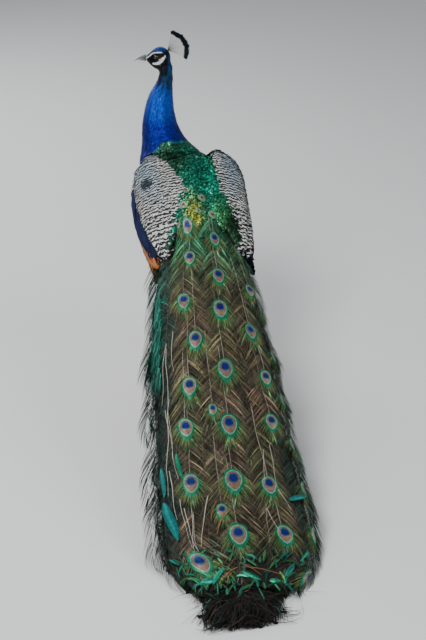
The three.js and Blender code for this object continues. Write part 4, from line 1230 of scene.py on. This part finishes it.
class TrainTop:
    """The train's outer surface as a grid of how far behind it is, by its share of the half width."""

    def __init__(self, surface):
        self.tree = surface.tree
        rows = [self.section(behind) for behind in GRID_BEHIND]
        points = np.stack([row[0] for row in rows])
        arcs = np.array([row[1] for row in rows])
        weights = np.array((1, 2, 3, 4, 5, 4, 3, 2, 1)) / 25
        self.points = self.smoothed(points, weights)
        self.arcs = self.smoothed(arcs, weights)
        along = np.gradient(self.points, axis=0)
        across = np.gradient(self.points, axis=1)
        self.normals = unit(np.cross(across, along))
        middle = self.normals[:, len(GRID_SHARE) // 2, 2].mean()
        self.normals *= np.sign(middle)

    @staticmethod
    def smoothed(rows, weights):
        """Rows averaged along the train, so that single feathers of the solid don't show as lumps."""
        reach = len(weights) // 2
        fore = [2 * rows[:1] - rows[k:k + 1] for k in range(reach, 0, -1)]
        aft = [2 * rows[-1:] - rows[len(rows) - 1 - k:len(rows) - k] for k in range(1, reach + 1)]
        padded = np.concatenate([*fore, rows, *aft])
        return sum(weight * padded[k:k + len(rows)] for k, weight in enumerate(weights))

    def section(self, behind):
        """The section's outline at the grid's shares, and the length from its ridge to its widest place."""
        centre_line = train_place(behind, 0.0, 900.0)
        top = self.tree.ray_cast(Vector(centre_line), Vector((0, 0, -1)))[0].z
        low = train_place(behind, 0.0, -50.0)
        base = self.tree.ray_cast(Vector(low), Vector((0, 0, 1)))[0].z
        centre = train_place(behind, 0.0, (top + base) / 2)
        sideways = unit(train_place(behind, 1.0, 0.0) - train_place(behind, 0.0, 0.0))
        width = np.interp(behind, TRAIN_BEHIND, TRAIN_WIDTHS)
        angles = np.radians(np.arange(-168, 169, 4))
        outline = []
        for angle in angles:
            way = unit(sideways * math.sin(angle) * width + UP * math.cos(angle) * (top - base) / 2)
            hit = self.tree.ray_cast(Vector(centre), Vector(way))[0]
            outline.append(np.array(hit) if hit else centre + way * 10)
        outline = np.array(outline)
        run = np.concatenate([[0], np.cumsum(np.linalg.norm(np.diff(outline, axis=0), axis=1))])
        run -= run[len(angles) // 2]
        out = (outline - centre) @ sideways
        right, left = -run[np.argmin(out)], run[np.argmax(out)]
        goal = np.where(GRID_SHARE < 0, GRID_SHARE * right, GRID_SHARE * left)
        line = np.stack([np.interp(goal, run, outline[:, axis]) for axis in range(3)], axis=1)
        return line, (left + right) / 2

    def at(self, behind, share, rise=0.0):
        """Points over the grid at a height above it, and the normals there."""
        row = np.clip((behind - GRID_BEHIND[0]) / np.diff(GRID_BEHIND)[0], 0, len(GRID_BEHIND) - 1.001)
        column = np.clip((share - GRID_SHARE[0]) / np.diff(GRID_SHARE)[0], 0, len(GRID_SHARE) - 1.001)
        i, j = row.astype(int), column.astype(int)
        u, v = (row - i)[..., None], (column - j)[..., None]

        def pick(grid):
            near = grid[i, j] * (1 - v) + grid[i, j + 1] * v
            far = grid[i + 1, j] * (1 - v) + grid[i + 1, j + 1] * v
            return near * (1 - u) + far * u

        normal = unit(pick(self.normals))
        past = (behind - np.clip(behind, GRID_BEHIND[0], GRID_BEHIND[-1]))[..., None]
        point = pick(self.points) + past * (0.12, 0.985, -0.12)
        point = point + normal * np.asarray(rise)[..., None]
        point[..., 2] = np.maximum(point[..., 2], 1.0)
        return point, normal

    def arc(self, behind):
        """The length from the ridge to the widest place."""
        return np.interp(behind, GRID_BEHIND, self.arcs)

    def seen_at(self, pixel):
        """Behind and share of what the camera sees at a pixel of the photograph, or None."""
        place, way = photo_ray(*pixel)
        hit = self.tree.ray_cast(Vector(place), Vector(way))[0]
        if hit is None:
            return None
        away = np.linalg.norm(self.points - np.array(hit), axis=2)
        i, j = np.unravel_index(np.argmin(away), away.shape)
        return GRID_BEHIND[i], GRID_SHARE[j]


def train_patches(behind, share):
    """Places on an unwrap of the train: along it, and round it."""
    return np.stack([(share + 1.35) / 2.7, (behind + 130) / 1340], axis=-1) * 0.97 + 0.015


def eyed_feathers(top):
    """Behind, share and half width of each eye spot of the train."""
    found = []
    for across, down, half in EYE_SPOT_PIXELS:
        seen = top.seen_at((across, down))
        if seen is not None:
            found.append((*seen, half * SPOT_GROWTH))
    return np.array(found + list(FAR_SPOTS))


def plain_feathers():
    """Feathers without an eye spot, staggered over the whole train, as (behind, share)."""
    found = []
    for row, behind in enumerate(np.arange(60, 1150, 84)):
        for share in np.arange(-1.05, 1.06, 0.35) + 0.175 * (row % 2):
            found.append((behind + RNG.normal(0, 16), share + RNG.normal(0, 0.04)))
    return np.array(found)


def shaft_share(behind, tip_behind, tip_share):
    """How far out a feather's shaft runs, which spreads a little toward its tip."""
    return tip_share * (1 - 0.22 * np.clip((tip_behind - behind) / 500, 0, 1))


def train_tint(behind, share, chance):
    """The barbs' colour by place: green over the rump, bronze and olive, emerald flanks, dark at the end."""
    colour = mix(TRAIN_BRONZE, TRAIN_OLIVE, chance)
    flank = mix(FLANK_TEAL, TRAIN_EMERALD, smooth(behind, 260, 460))
    colour = colour + (flank - colour) * (smooth(share, 0.50, 0.78) * 0.95)[..., None]
    colour = mix(colour, TRAIN_EMERALD, smooth(-share, 0.72, 0.98) * 0.8)
    colour = mix(colour, EMERALD, (1 - smooth(behind, 20, 190)) * 0.7)
    return mix(colour, TRAIN_DARK, smooth(behind, 1090, 1150))


def barb_roots(tips, halves):
    """Where each barb leaves its shaft: feather, distance from the feather's end, and side."""
    count = int(VISIBLE_REACH / BARB_SPACING)
    steps = (np.arange(count) + 0.5) * BARB_SPACING
    feather = np.repeat(np.arange(len(tips)), count * 2)
    distance = np.tile(np.repeat(steps, 2), len(tips))
    side = np.tile((-1.0, 1.0), len(tips) * count)
    ends = tips + halves * SPOT_TAIL
    kept = ends[feather] - distance > BARBS_FROM
    return feather[kept], distance[kept], side[kept]


def bending_paths(top, behind, share, angle, bend, length, rise):
    """Paths over the train that leave it at an angle to its length and bend back, with its normals."""
    rows = np.linspace(0, 1, 6)
    turn = angle[:, None] * (1 - bend * (rows[1:] + rows[:-1]) / 2)
    pace = length[:, None] / (len(rows) - 1)
    none = np.zeros((len(angle), 1))
    ahead = behind[:, None] + np.concatenate([none, np.cumsum(np.cos(turn) * pace, axis=1)], axis=1)
    out = np.concatenate([none, np.cumsum(np.sin(turn) * pace, axis=1)], axis=1)
    ahead = np.minimum(ahead, TRAIN_REACH)
    wide = share[:, None] + out / top.arc(ahead)
    inside = np.clip(wide, -EDGE_SHARE, EDGE_SHARE)
    centres, normals = top.at(ahead, inside, rise[:, None] - 2.2 * rows**2)
    past = ((wide - inside) * top.arc(ahead) * 0.55)[..., None]
    centres = centres + past * (1, -0.15, 0) - np.abs(past) * UP * 0.4
    return centres, normals


def place_barbs(name, paths, normals, half, tints, patches):
    """Thin strips along paths, in pieces small enough to hand in."""
    run = unit(np.gradient(paths, axis=1))
    flat = unit(np.cross(normals, run))
    roll = RNG.normal(0, 0.45, len(paths))[:, None, None]
    sides = flat * np.cos(roll) + normals * np.sin(roll)
    taper = np.array((1.0, 1.0, 0.92, 0.78, 0.55, 0.12))
    strip = strips(paths, sides, normals, half[:, None] * taper, (-1.0, 1.0), 0.0)
    for part in range(0, len(paths), PIECE_BARBS):
        chosen = slice(part, part + PIECE_BARBS)
        label = f"{name}_{part // PIECE_BARBS + 1}"
        pieces = [tuple(values[chosen] for values in strip)]
        place_strips(label, pieces, tints[chosen], TRAIN_PLUME, roots=patches[chosen])


def make_barbs(top, name, tips, shares, halves, base_rise, tone):
    """The loose barbs on both sides of each feather's shaft, in clumps, swept toward its tip."""
    feather, distance, side = barb_roots(tips, halves)
    count = len(feather)
    clump = (distance / (BARB_SPACING * 2)).astype(int)
    _, key = np.unique(feather * 997 + clump * 2 + (side > 0), return_inverse=True)
    tone = tone * RNG.lognormal(-0.1, 0.62, key.max() + 1)[key] * RNG.lognormal(0, 0.30, count)
    end = tips[feather] + halves[feather] * SPOT_TAIL
    start = end - distance
    share = shaft_share(start, tips[feather], shares[feather])
    grown = smooth(distance, -10, 80)
    length = (18 + (BARB_LENGTH - 18) * grown) * RNG.uniform(0.85, 1.1, count)
    lean = RNG.normal(0, 2.5, key.max() + 1)[key] + RNG.normal(0, 1.5, count)
    angle = np.radians(14 + 36 * grown + lean) * side
    rise = base_rise - np.clip(distance * 0.024, 0, TRAIN_COAT) + RNG.normal(0, 0.5, count)
    paths, normals = bending_paths(top, start, share, angle, 0.42, length, rise)
    chance = np.clip(RNG.random(len(tips))[feather] + RNG.normal(0, 0.15, count), 0, 1)
    tint = train_tint(start, share, chance) * tone[:, None]
    size = np.maximum(halves[feather], 1)
    near_spot = (halves[feather] > 0) * (1 - smooth(distance, size * 3.2, size * 6.5))
    fringe = mix(EMERALD, HALO_GOLD, RNG.uniform(0.2, 0.9, count)) * (0.7 * tone)[:, None]
    tint = mix(tint, fringe, near_spot * 0.85 * smooth(start, 60, 260))
    fade = np.array((0.55, 0.95, 1.15, 1.05, 0.85, 0.6))
    place_barbs(name, paths, normals, BARB_HALF * RNG.uniform(0.7, 1.2, count), tint[:, None] * fade[:, None],
                train_patches(start, share))


def make_halos(top, spots):
    """The fringe of barbs that spreads from each eye spot, emerald, then gold-olive, then bronze."""
    turns = np.radians(np.linspace(-118, 118, HALO_BARBS))
    spot = np.repeat(np.arange(len(spots)), HALO_BARBS)
    turn = np.tile(turns, len(spots)) + RNG.normal(0, 0.03, len(spot))
    behind, share, size = spots[spot].T
    start = behind + size * np.where(np.cos(turn) > 0, 2.1, 1.3) * np.cos(turn)
    share = share + size * 1.0 * np.sin(turn) / top.arc(start)
    length = size * (1.25 + 1.1 * np.sin(turn) ** 2) * RNG.uniform(0.85, 1.15, len(spot))
    angle = turn * 0.52 + RNG.normal(0, 0.03, len(spot))
    rise = 2.2 + RNG.normal(0, 0.4, len(spot))
    paths, normals = bending_paths(top, start, share, angle, 0.30, length, rise)
    tone = RNG.lognormal(0, 0.35, len(spot))[:, None, None]
    middle = mix(EMERALD, HALO_GOLD, 0.5)
    zones = np.array((EMERALD, middle, HALO_GOLD, HALO_GOLD, TRAIN_BRONZE, TRAIN_BRONZE))
    half = np.full(len(spot), 0.75)
    place_barbs("Halo_barbs", paths, normals, half, zones * tone, train_patches(start, share))


def make_edge_barbs(top):
    """Stray barbs that stand out past both sides of the train, and past its end."""
    count = EDGE_BARBS
    near = np.arange(count) >= EDGE_BARBS_ANYWHERE
    side = np.where(near, 1.0, RNG.choice((-1.0, 1.0), count))
    behind = RNG.uniform(np.where(near, 190, np.where(side > 0, 265, 190)), np.where(near, 460, 1080))
    share = side * RNG.uniform(0.8, EDGE_SHARE, count)
    angle = np.radians(RNG.uniform(8, np.where(near, 34, 58), count)) * side
    length = RNG.uniform(25, 80, count)
    paths, normals = bending_paths(top, behind, share, angle, 0.4, length, RNG.normal(-2, 1.5, count))
    colour = mix(np.array(TRAIN_EMERALD) * 0.7, TRAIN_DARK, RNG.uniform(0, 1, count))
    colour = colour * RNG.lognormal(-0.2, 0.4, (count, 1))
    teal = np.array(FLANK_TEAL) * RNG.lognormal(-0.3, 0.4, (count, 1))
    colour = np.where(near[:, None], teal, colour)
    place_barbs("Edge_barbs", paths, normals, np.where(near, 1.0, 0.55), colour, train_patches(behind, share))


def make_end_vanes(top):
    """Small crumpled green vanes that lie across the train's end."""
    count = END_VANES
    behind = RNG.uniform(985, 1125, count)
    share = RNG.uniform(-0.95, 0.95, count)
    angle = RNG.normal(0, 1.1, count)
    length = RNG.uniform(18, 44, count)
    paths, normals = bending_paths(top, behind, share, angle, 0.6, length, RNG.uniform(1.5, 5, count))
    run = unit(np.gradient(paths, axis=1))
    sides = unit(np.cross(normals, run) + normals * RNG.normal(0, 0.5, count)[:, None, None])
    halves = RNG.uniform(1.6, 4.6, count)[:, None] * np.array((0.4, 0.9, 1.0, 0.95, 0.75, 0.15))
    strip = strips(paths, sides, normals, halves, (-1.0, -0.5, 0.0, 0.5, 1.0), 0.5)
    tints = mix(VANE_TEAL, VANE_OLIVE, RNG.random(count))
    tints = tints * RNG.lognormal(-0.3, 0.5, (count, 1))
    patches = train_patches(behind, share)
    place_strips("End_vanes", [strip], tints, PLUME, roots=patches)


def make_shafts(top, name, tips, shares, halves, rise, tints):
    """The shafts of the train's feathers."""
    rows = np.linspace(0, 1, 14)
    far = tips - VISIBLE_REACH
    near = tips - halves * 1.5
    behind = np.maximum(far, BARBS_FROM)[:, None] * (1 - rows) + near[:, None] * rows
    share = shaft_share(behind, tips[:, None], shares[:, None])
    sunk = np.clip((tips[:, None] - behind) * 0.020, 0, TRAIN_COAT)
    centres, normals = top.at(behind, share, rise - sunk)
    sides = unit(np.cross(normals, unit(np.gradient(centres, axis=1))))
    widths = np.broadcast_to(np.linspace(0.85, 0.45, len(rows)), behind.shape)
    strip = strips(centres, sides, normals, widths, camber=0.7)
    patches = train_patches(near, shares)
    place_strips(name, [strip], tints, SHAFT_HORN, roots=patches)


# An eye spot's zones from its centre out: name, half width, length toward the root, length toward
# the tip, and colour, each length a multiple of the spot's half width.
SPOT_ZONES = (
    ("navy", 0.50, 0.76, 0.34, (0.0006, 0.004, 0.120)),
    ("teal", 0.65, 0.93, 0.54, (0.012, 0.080, 0.120)),
    ("tan", 0.92, 1.15, 1.50, (0.200, 0.112, 0.078)),
    ("pale", 1.03, 1.28, 1.68, (0.090, 0.330, 0.230)),
    ("emerald", 1.24, 1.55, 2.45, (0.003, 0.125, 0.055)),
)
BACK_ZONES = (
    ("dark", 0.38, 0.24, 0.18, (0.006, 0.010, 0.010)),
    ("disc", 0.96, 0.56, 0.62, (0.185, 0.140, 0.095)),
    ("rim", 1.20, 0.76, 0.84, (0.020, 0.230, 0.110)),
)


def spot_outline(turns, zone):
    """Out and along of a zone's edge, pear-shaped toward the tip."""
    _, half, rootward, tipward, _ = zone
    along = np.where(np.cos(turns) > 0, tipward, rootward) * np.cos(turns)
    taper = 1 - 0.30 * np.maximum(np.cos(turns), 0) ** 2 * max(tipward - 0.6, 0)
    notch = 0.16 * np.exp(-((np.abs(turns) - math.pi) / 0.35) ** 2) if half < 0.6 else 0.0
    return half * np.sin(turns) * taper, along * (1 - notch)


def make_spots(top, name, spots, zones, rise):
    """The eye spots as slightly domed discs, one piece for each colour zone."""
    turns = np.linspace(-math.pi, math.pi, 29)
    inner = (np.zeros(len(turns)), np.full(len(turns), -0.12))
    widest = zones[-1][1]
    ragged = RNG.uniform(0.93, 1.09, (len(spots), len(turns)))
    ragged[:, -1] = ragged[:, 0]
    for index, zone in enumerate(zones):
        outer = spot_outline(turns, zone)
        shares = np.linspace(0, 1, 3)[:, None]
        out = inner[0] * (1 - shares) + outer[0] * shares
        along = inner[1] * (1 - shares) + outer[1] * shares
        spread = np.where(index == len(zones) - 1, ragged, 1.0)[:, None, :]
        grow = 1 + (spread - 1) * shares
        size = spots[:, 2, None, None]
        behind = spots[:, 0, None, None] + size * along * grow
        share = spots[:, 1, None, None] + size * out * grow / top.arc(behind)
        dome = 1.8 * (1 - np.hypot(out, along) ** 2 / (2 * widest**2))
        centres, _ = top.at(behind, share, rise + dome + np.zeros_like(behind))
        chance = RNG.uniform(0.85, 1.15, len(spots))
        layers, patches = spot_layers(spots, centres.shape, np.array(zone[4]), chance, out, along)
        faces = strip_faces(len(spots), 3, len(turns))[:, ::-1]
        new_piece(f"{name}_{zone[0]}", centres, faces, EYESPOT_PLUME, (), layers, patches)
        inner = outer


def spot_layers(spots, shape, colour, chance, out, along):
    """Attributes and patches of a colour zone."""
    tint = np.ones((*shape[:3], 4))
    tint[..., :3] = colour * chance[:, None, None, None]
    ray = np.broadcast_to(np.hypot(out, along) * 14, shape[:3])
    vane = np.stack([np.zeros(shape[:3]), np.full(shape[:3], 0.4), ray], axis=-1)
    mark = np.zeros((vane[..., 0].size, 3))
    layers = {"Tint": tint.reshape(-1, 4), "Vane": vane.reshape(-1, 3), "Mark": mark}
    root = train_patches(spots[:, 0], spots[:, 1])[:, None, None]
    place = np.stack(np.broadcast_arrays(out, along), axis=-1) * PATCH / 4
    return layers, (root + place[None]).reshape(-1, 2)


def pixel_strips(top, pairs, widths, rise, rows=8, bow=0.0):
    """Strips over the train between pairs of pixels of the photograph, and where they start."""
    starts, ends, kept = [], [], []
    for index, (first, last) in enumerate(pairs):
        start, end = top.seen_at(first), top.seen_at(last)
        if start is not None and end is not None:
            starts.append(start)
            ends.append(end)
            kept.append(index)
    starts, ends = np.array(starts), np.array(ends)
    line = np.linspace(0, 1, rows)
    behind = starts[:, :1] * (1 - line) + ends[:, :1] * line
    share = starts[:, 1:] * (1 - line) + ends[:, 1:] * line + bow * np.sin(line * math.pi)
    centres, normals = top.at(behind, share, rise + 3 * np.sin(line * math.pi) + np.zeros_like(behind))
    sides = unit(np.cross(normals, unit(np.gradient(centres, axis=1))))
    halves = np.asarray(widths)[kept][:, None] / 2 * np.ones(rows)
    return centres, sides, normals, halves, train_patches(starts[:, 0], starts[:, 1]), kept


def make_loose(top):
    """Curled emerald vanes, copper strands and long bare shafts that lie over the train."""
    pairs = [vane[:2] for vane in LOOSE_VANES]
    widths = [vane[2] * 1.5 for vane in LOOSE_VANES]
    centres, sides, normals, halves, patches, kept = pixel_strips(top, pairs, widths, 5.0)
    halves = halves * np.array((0.35, 0.8, 1.0, 1.0, 0.95, 0.85, 0.6, 0.12))
    strip = strips(centres, sides, normals, halves, (-1.0, -0.5, 0.0, 0.5, 1.0), 0.5)
    tints = np.array([LOOSE_VANES[index][3] for index in kept])
    place_strips("Loose_vanes", [strip], tints, PLUME, roots=patches)
    for name, pairs, width, tint, material in (
        ("Copper_strands", COPPER_STRANDS, 2.2, COPPER, TRAIN_PLUME),
        ("Bare_shafts", BARE_SHAFTS, 1.5, SHAFT_PALE, SHAFT_HORN),
    ):
        found = pixel_strips(top, pairs, [width] * len(pairs), 4.5, bow=0.012)
        halves = found[3] * np.linspace(1.0, 0.45, found[3].shape[1])
        strip = strips(*found[:3], halves, camber=0.7)
        tints = np.tile(np.array(tint), (len(found[5]), 1))
        place_strips(name, [strip], tints, material, roots=found[4])


def inset_sides(points):
    """The train's points drawn in to a plain side, so that only barbs and vanes make its ragged edge."""
    behind = points[:, 1] / math.cos(TRAIN_SWING)
    middle = train_place(behind, 0.0, 0.0)
    out = (points - middle)[:, 0]
    limit = np.interp(behind, TRAIN_BEHIND, TRAIN_WIDTHS) * 0.96
    moved = points.copy()
    moved[:, 0] = middle[:, 0] + np.clip(out, -limit, limit)
    return moved


def over_rump(points, normals):
    """Where scales cover the train's root."""
    edge = 24 + 0.5 * np.minimum(points[:, 0] + 20, 0)
    return on_back(points, normals) & (normals[:, 2] > 0.3) & (points[:, 1] < edge)


def under_train(points, normals):
    """The train's underside, but for its end."""
    return (normals[:, 2] < -0.4) & (points[:, 1] < 1080)


def off_top(points, normals):
    """All but what faces straight up."""
    return normals[:, 2] < 0.9


def one_tint(colour, tone=1.0):
    """A function that gives every root the same tint."""
    def tint(roots):
        return np.tile(np.array(colour) * tone, (len(roots), 1))
    return tint


def one_way(*way):
    """A function that lays every feather the same way."""
    def lie(roots):
        return np.broadcast_to(way, roots.shape)
    return lie


def make_train():
    """The train: a mat painted near black as shade, under shafts, barbs, eye spots and loose vanes."""
    outer = remeshed(TRAIN_NODES, 4.0, 3)
    top = TrainTop(remeshed((*TRAIN_NODES, "rump", "trunk"), 4.0, 3))
    mat = Surface(inset_sides(outer.points - outer.normals * TRAIN_COAT), outer.faces)
    sunk = mat.points
    # Painted shade: the mat under the barbs is tinted near black, as the shade deep between the train's
    # feathers.
    tint = mix(TRAIN_DARK, TRAIN_EMERALD, np.full(len(sunk), 0.15)) * 0.6
    layers = plain_layers(sunk, tint)
    new_piece("Train_mat", sunk, mat.faces, MATT_PLUME, TRAIN_NODES, layers)
    spots = eyed_feathers(top)
    plain = plain_feathers()
    none = np.zeros(len(plain))
    make_barbs(top, "Train_barbs", plain[:, 0], plain[:, 1], none, -3.0, 0.5)
    make_barbs(top, "Spot_barbs", *spots.T, 1.2, 1.1)
    make_halos(top, spots)
    make_edge_barbs(top)
    make_end_vanes(top)
    pale = mix(SHAFT_PALE, TRAIN_BRONZE, RNG.uniform(0.5, 1.0, len(plain)))
    make_shafts(top, "Train_shafts", plain[:, 0], plain[:, 1], none, -4.0, pale)
    pale = mix(SHAFT_PALE, TRAIN_BRONZE, RNG.uniform(0.0, 0.5, len(spots)))
    make_shafts(top, "Spot_shafts", *spots.T, 1.2, pale)
    make_spots(top, "Spot", spots, SPOT_ZONES, 3.0)
    seen = [(top.seen_at(pixel[:2]), pixel[2] * 1.5) for pixel in BACK_SPOT_PIXELS]
    small = np.array([(*place, half * SPOT_GROWTH) for place, half in seen if place])
    make_spots(top, "Back_spot", small, BACK_ZONES, 3.0)
    scaled = Surface(outer.points - outer.normals * 4.0, outer.faces, outer.points)
    coat("Rump_scales", scaled, 7.0, 20.0, 12.5, (0.8, 5.0), over_rump, PLUME,
         spread=5.0, patches=train_root_patches, vary=0.5)
    make_loose(top)
    # Painted shade: the feathers on the train's underside have 0.3 of the tail's brown, as the shade under
    # the train.
    coat("Under_train", mat, 17.0, 62.0, 16.0, (0.5, 6.0), under_train, MATT_PLUME,
         one_way(0.14, 0.99, 0.0), LONG_OUTLINE, 8.0, one_tint(TAIL_BROWN, 0.3), train_root_patches)


def plain_layers(points, tint):
    """Attributes of a surface that carries no marks."""
    tint = np.concatenate([tint, np.ones((len(tint), 1))], axis=1)
    vane = np.stack([np.zeros(len(points)), np.full(len(points), 0.4), points[:, 1]], axis=1)
    return {"Tint": tint, "Vane": vane, "Mark": np.zeros((len(points), 3))}


def train_root_patches(roots):
    """Patches on the train's unwrap from points in the bird's frame."""
    out = np.clip((roots[:, 0] - roots[:, 1] * math.tan(TRAIN_SWING)) / 190, -1.3, 1.3)
    return train_patches(np.clip(roots[:, 1], -110, 1180), out)


def make_tangle():
    """The mound of dark loose plumes past the train's end."""
    mound = remeshed(("train_tangle",), 4.0, 8)
    # Painted shade: the mound under the plumes is tinted darker than the plumes, as the shade between them.
    tint = np.tile(np.array(TRAIN_DARK) * 0.3, (len(mound.points), 1))
    sunk = mound.points - mound.normals * 6.0
    layers = plain_layers(sunk, tint)
    new_piece("Tangle_mat", sunk, mound.faces, MATT_PLUME, ("train_tangle",), layers)
    make_strands(mound)


def make_strands(mound):
    """Long hair-like dark plumes strewn from the mound and the train's end, most of them backward."""
    count = PLUMES
    roots, _ = mound.scatter(4.0, lambda points, normals: normals[:, 2] > 0.0)
    roots = roots[RNG.choice(len(roots), count)]
    middle = mound.points.mean(axis=0)
    roots[:, 0] = middle[0] + (roots[:, 0] - middle[0]) * 0.7
    away = unit((roots - middle) * (1, 1, 0) + (0, 22, 0) + RNG.normal(0, 16, roots.shape) * (1, 1, 0))
    key = (np.floor(roots[:, 0] / 14) * 7 + np.floor(roots[:, 1] / 16)).astype(int) % PLUME_LOCKS
    heading = np.arctan2(away[:, 0], away[:, 1])
    heading = heading + RNG.normal(0, 0.45, PLUME_LOCKS)[key] + RNG.normal(0, 0.1, count)
    curl = RNG.normal(0, 1.5, PLUME_LOCKS)[key] + RNG.normal(0, 0.25, count)
    length = np.clip(RNG.lognormal(3.95, 0.32, count), 28, 84)
    length = np.where(RNG.random(count) > 0.955, RNG.uniform(90, 165, count), length)
    rows = np.linspace(0, 1, 9)
    turn = heading[:, None] + curl[:, None] * rows[1:]
    pace = (length / (len(rows) - 1))[:, None]
    step = np.stack([np.sin(turn) * pace, np.cos(turn) * pace, np.zeros_like(turn)], axis=-1)
    paths = roots[:, None] + np.concatenate([np.zeros((count, 1, 3)), np.cumsum(step, axis=1)], axis=1)
    lifted = RNG.uniform(2, 16, count)[:, None]
    paths[..., 2] = roots[:, 2:] * (1 - rows) ** 1.3 + lifted * np.sin(rows * math.pi) + 1.2
    limit = TRAIN_LIMIT - np.abs(RNG.normal(0, 11, (count, 1, 1))) * (1, 1, 0)
    paths = paths - np.maximum((paths - limit).max(axis=1, keepdims=True), 0)
    run = unit(np.gradient(paths, axis=1))
    flat = unit(np.cross(UP, run))
    roll = RNG.normal(0, 0.6, count)[:, None, None]
    sides = unit(flat * np.cos(roll) + UP * np.sin(roll))
    taper = np.array((0.9, 1.0, 1.0, 0.95, 0.9, 0.8, 0.65, 0.45, 0.12))
    half = RNG.uniform(0.6, 1.5, count)[:, None]
    strip = strips(paths, sides, np.broadcast_to(UP, paths.shape), half * taper, (-1.0, 1.0), 0.0)
    brown = mix(np.array(TRAIN_DARK) * 0.6, PLUME_BROWN, RNG.random(count) ** 3)
    tint = mix(brown, PLUME_TEAL, (RNG.random(count) > 0.94) * 0.9)
    tint = tint * RNG.lognormal(-0.2, 0.5, (count, 1))
    patches = train_root_patches(roots)
    place_strips("Dark_plumes", [strip], tint, MATT_PLUME, roots=patches)


def make_tail():
    """The short brown tail that carries the train."""
    fan = remeshed(("tail_fan",), 3.0, 2)
    brown = np.tile(np.array(TAIL_BROWN), (len(fan.points), 1))
    sunk = fan.points - fan.normals * 2.5
    # Painted shade: the mat under the tail feathers has 0.6 of their brown, as the shade between them.
    layers = plain_layers(sunk, brown * 0.6)
    new_piece("Tail_mat", sunk, fan.faces, MATT_PLUME, ("tail_fan",), layers)
    coat("Tail_feathers", fan, 24.0, 130.0, 34.0, (0.0, 2.5), off_top, MATT_PLUME,
         one_way(0.14, 0.98, -0.2), LONG_OUTLINE, 3.0, one_tint(TAIL_BROWN), train_root_patches)


make_camera()
make_stage()
make_coat(make_skin(remeshed(FLESH, 3.0, 3)))
make_bill()
make_eyes()
make_crest()
make_legs()
make_train()
make_tangle()
make_tail()
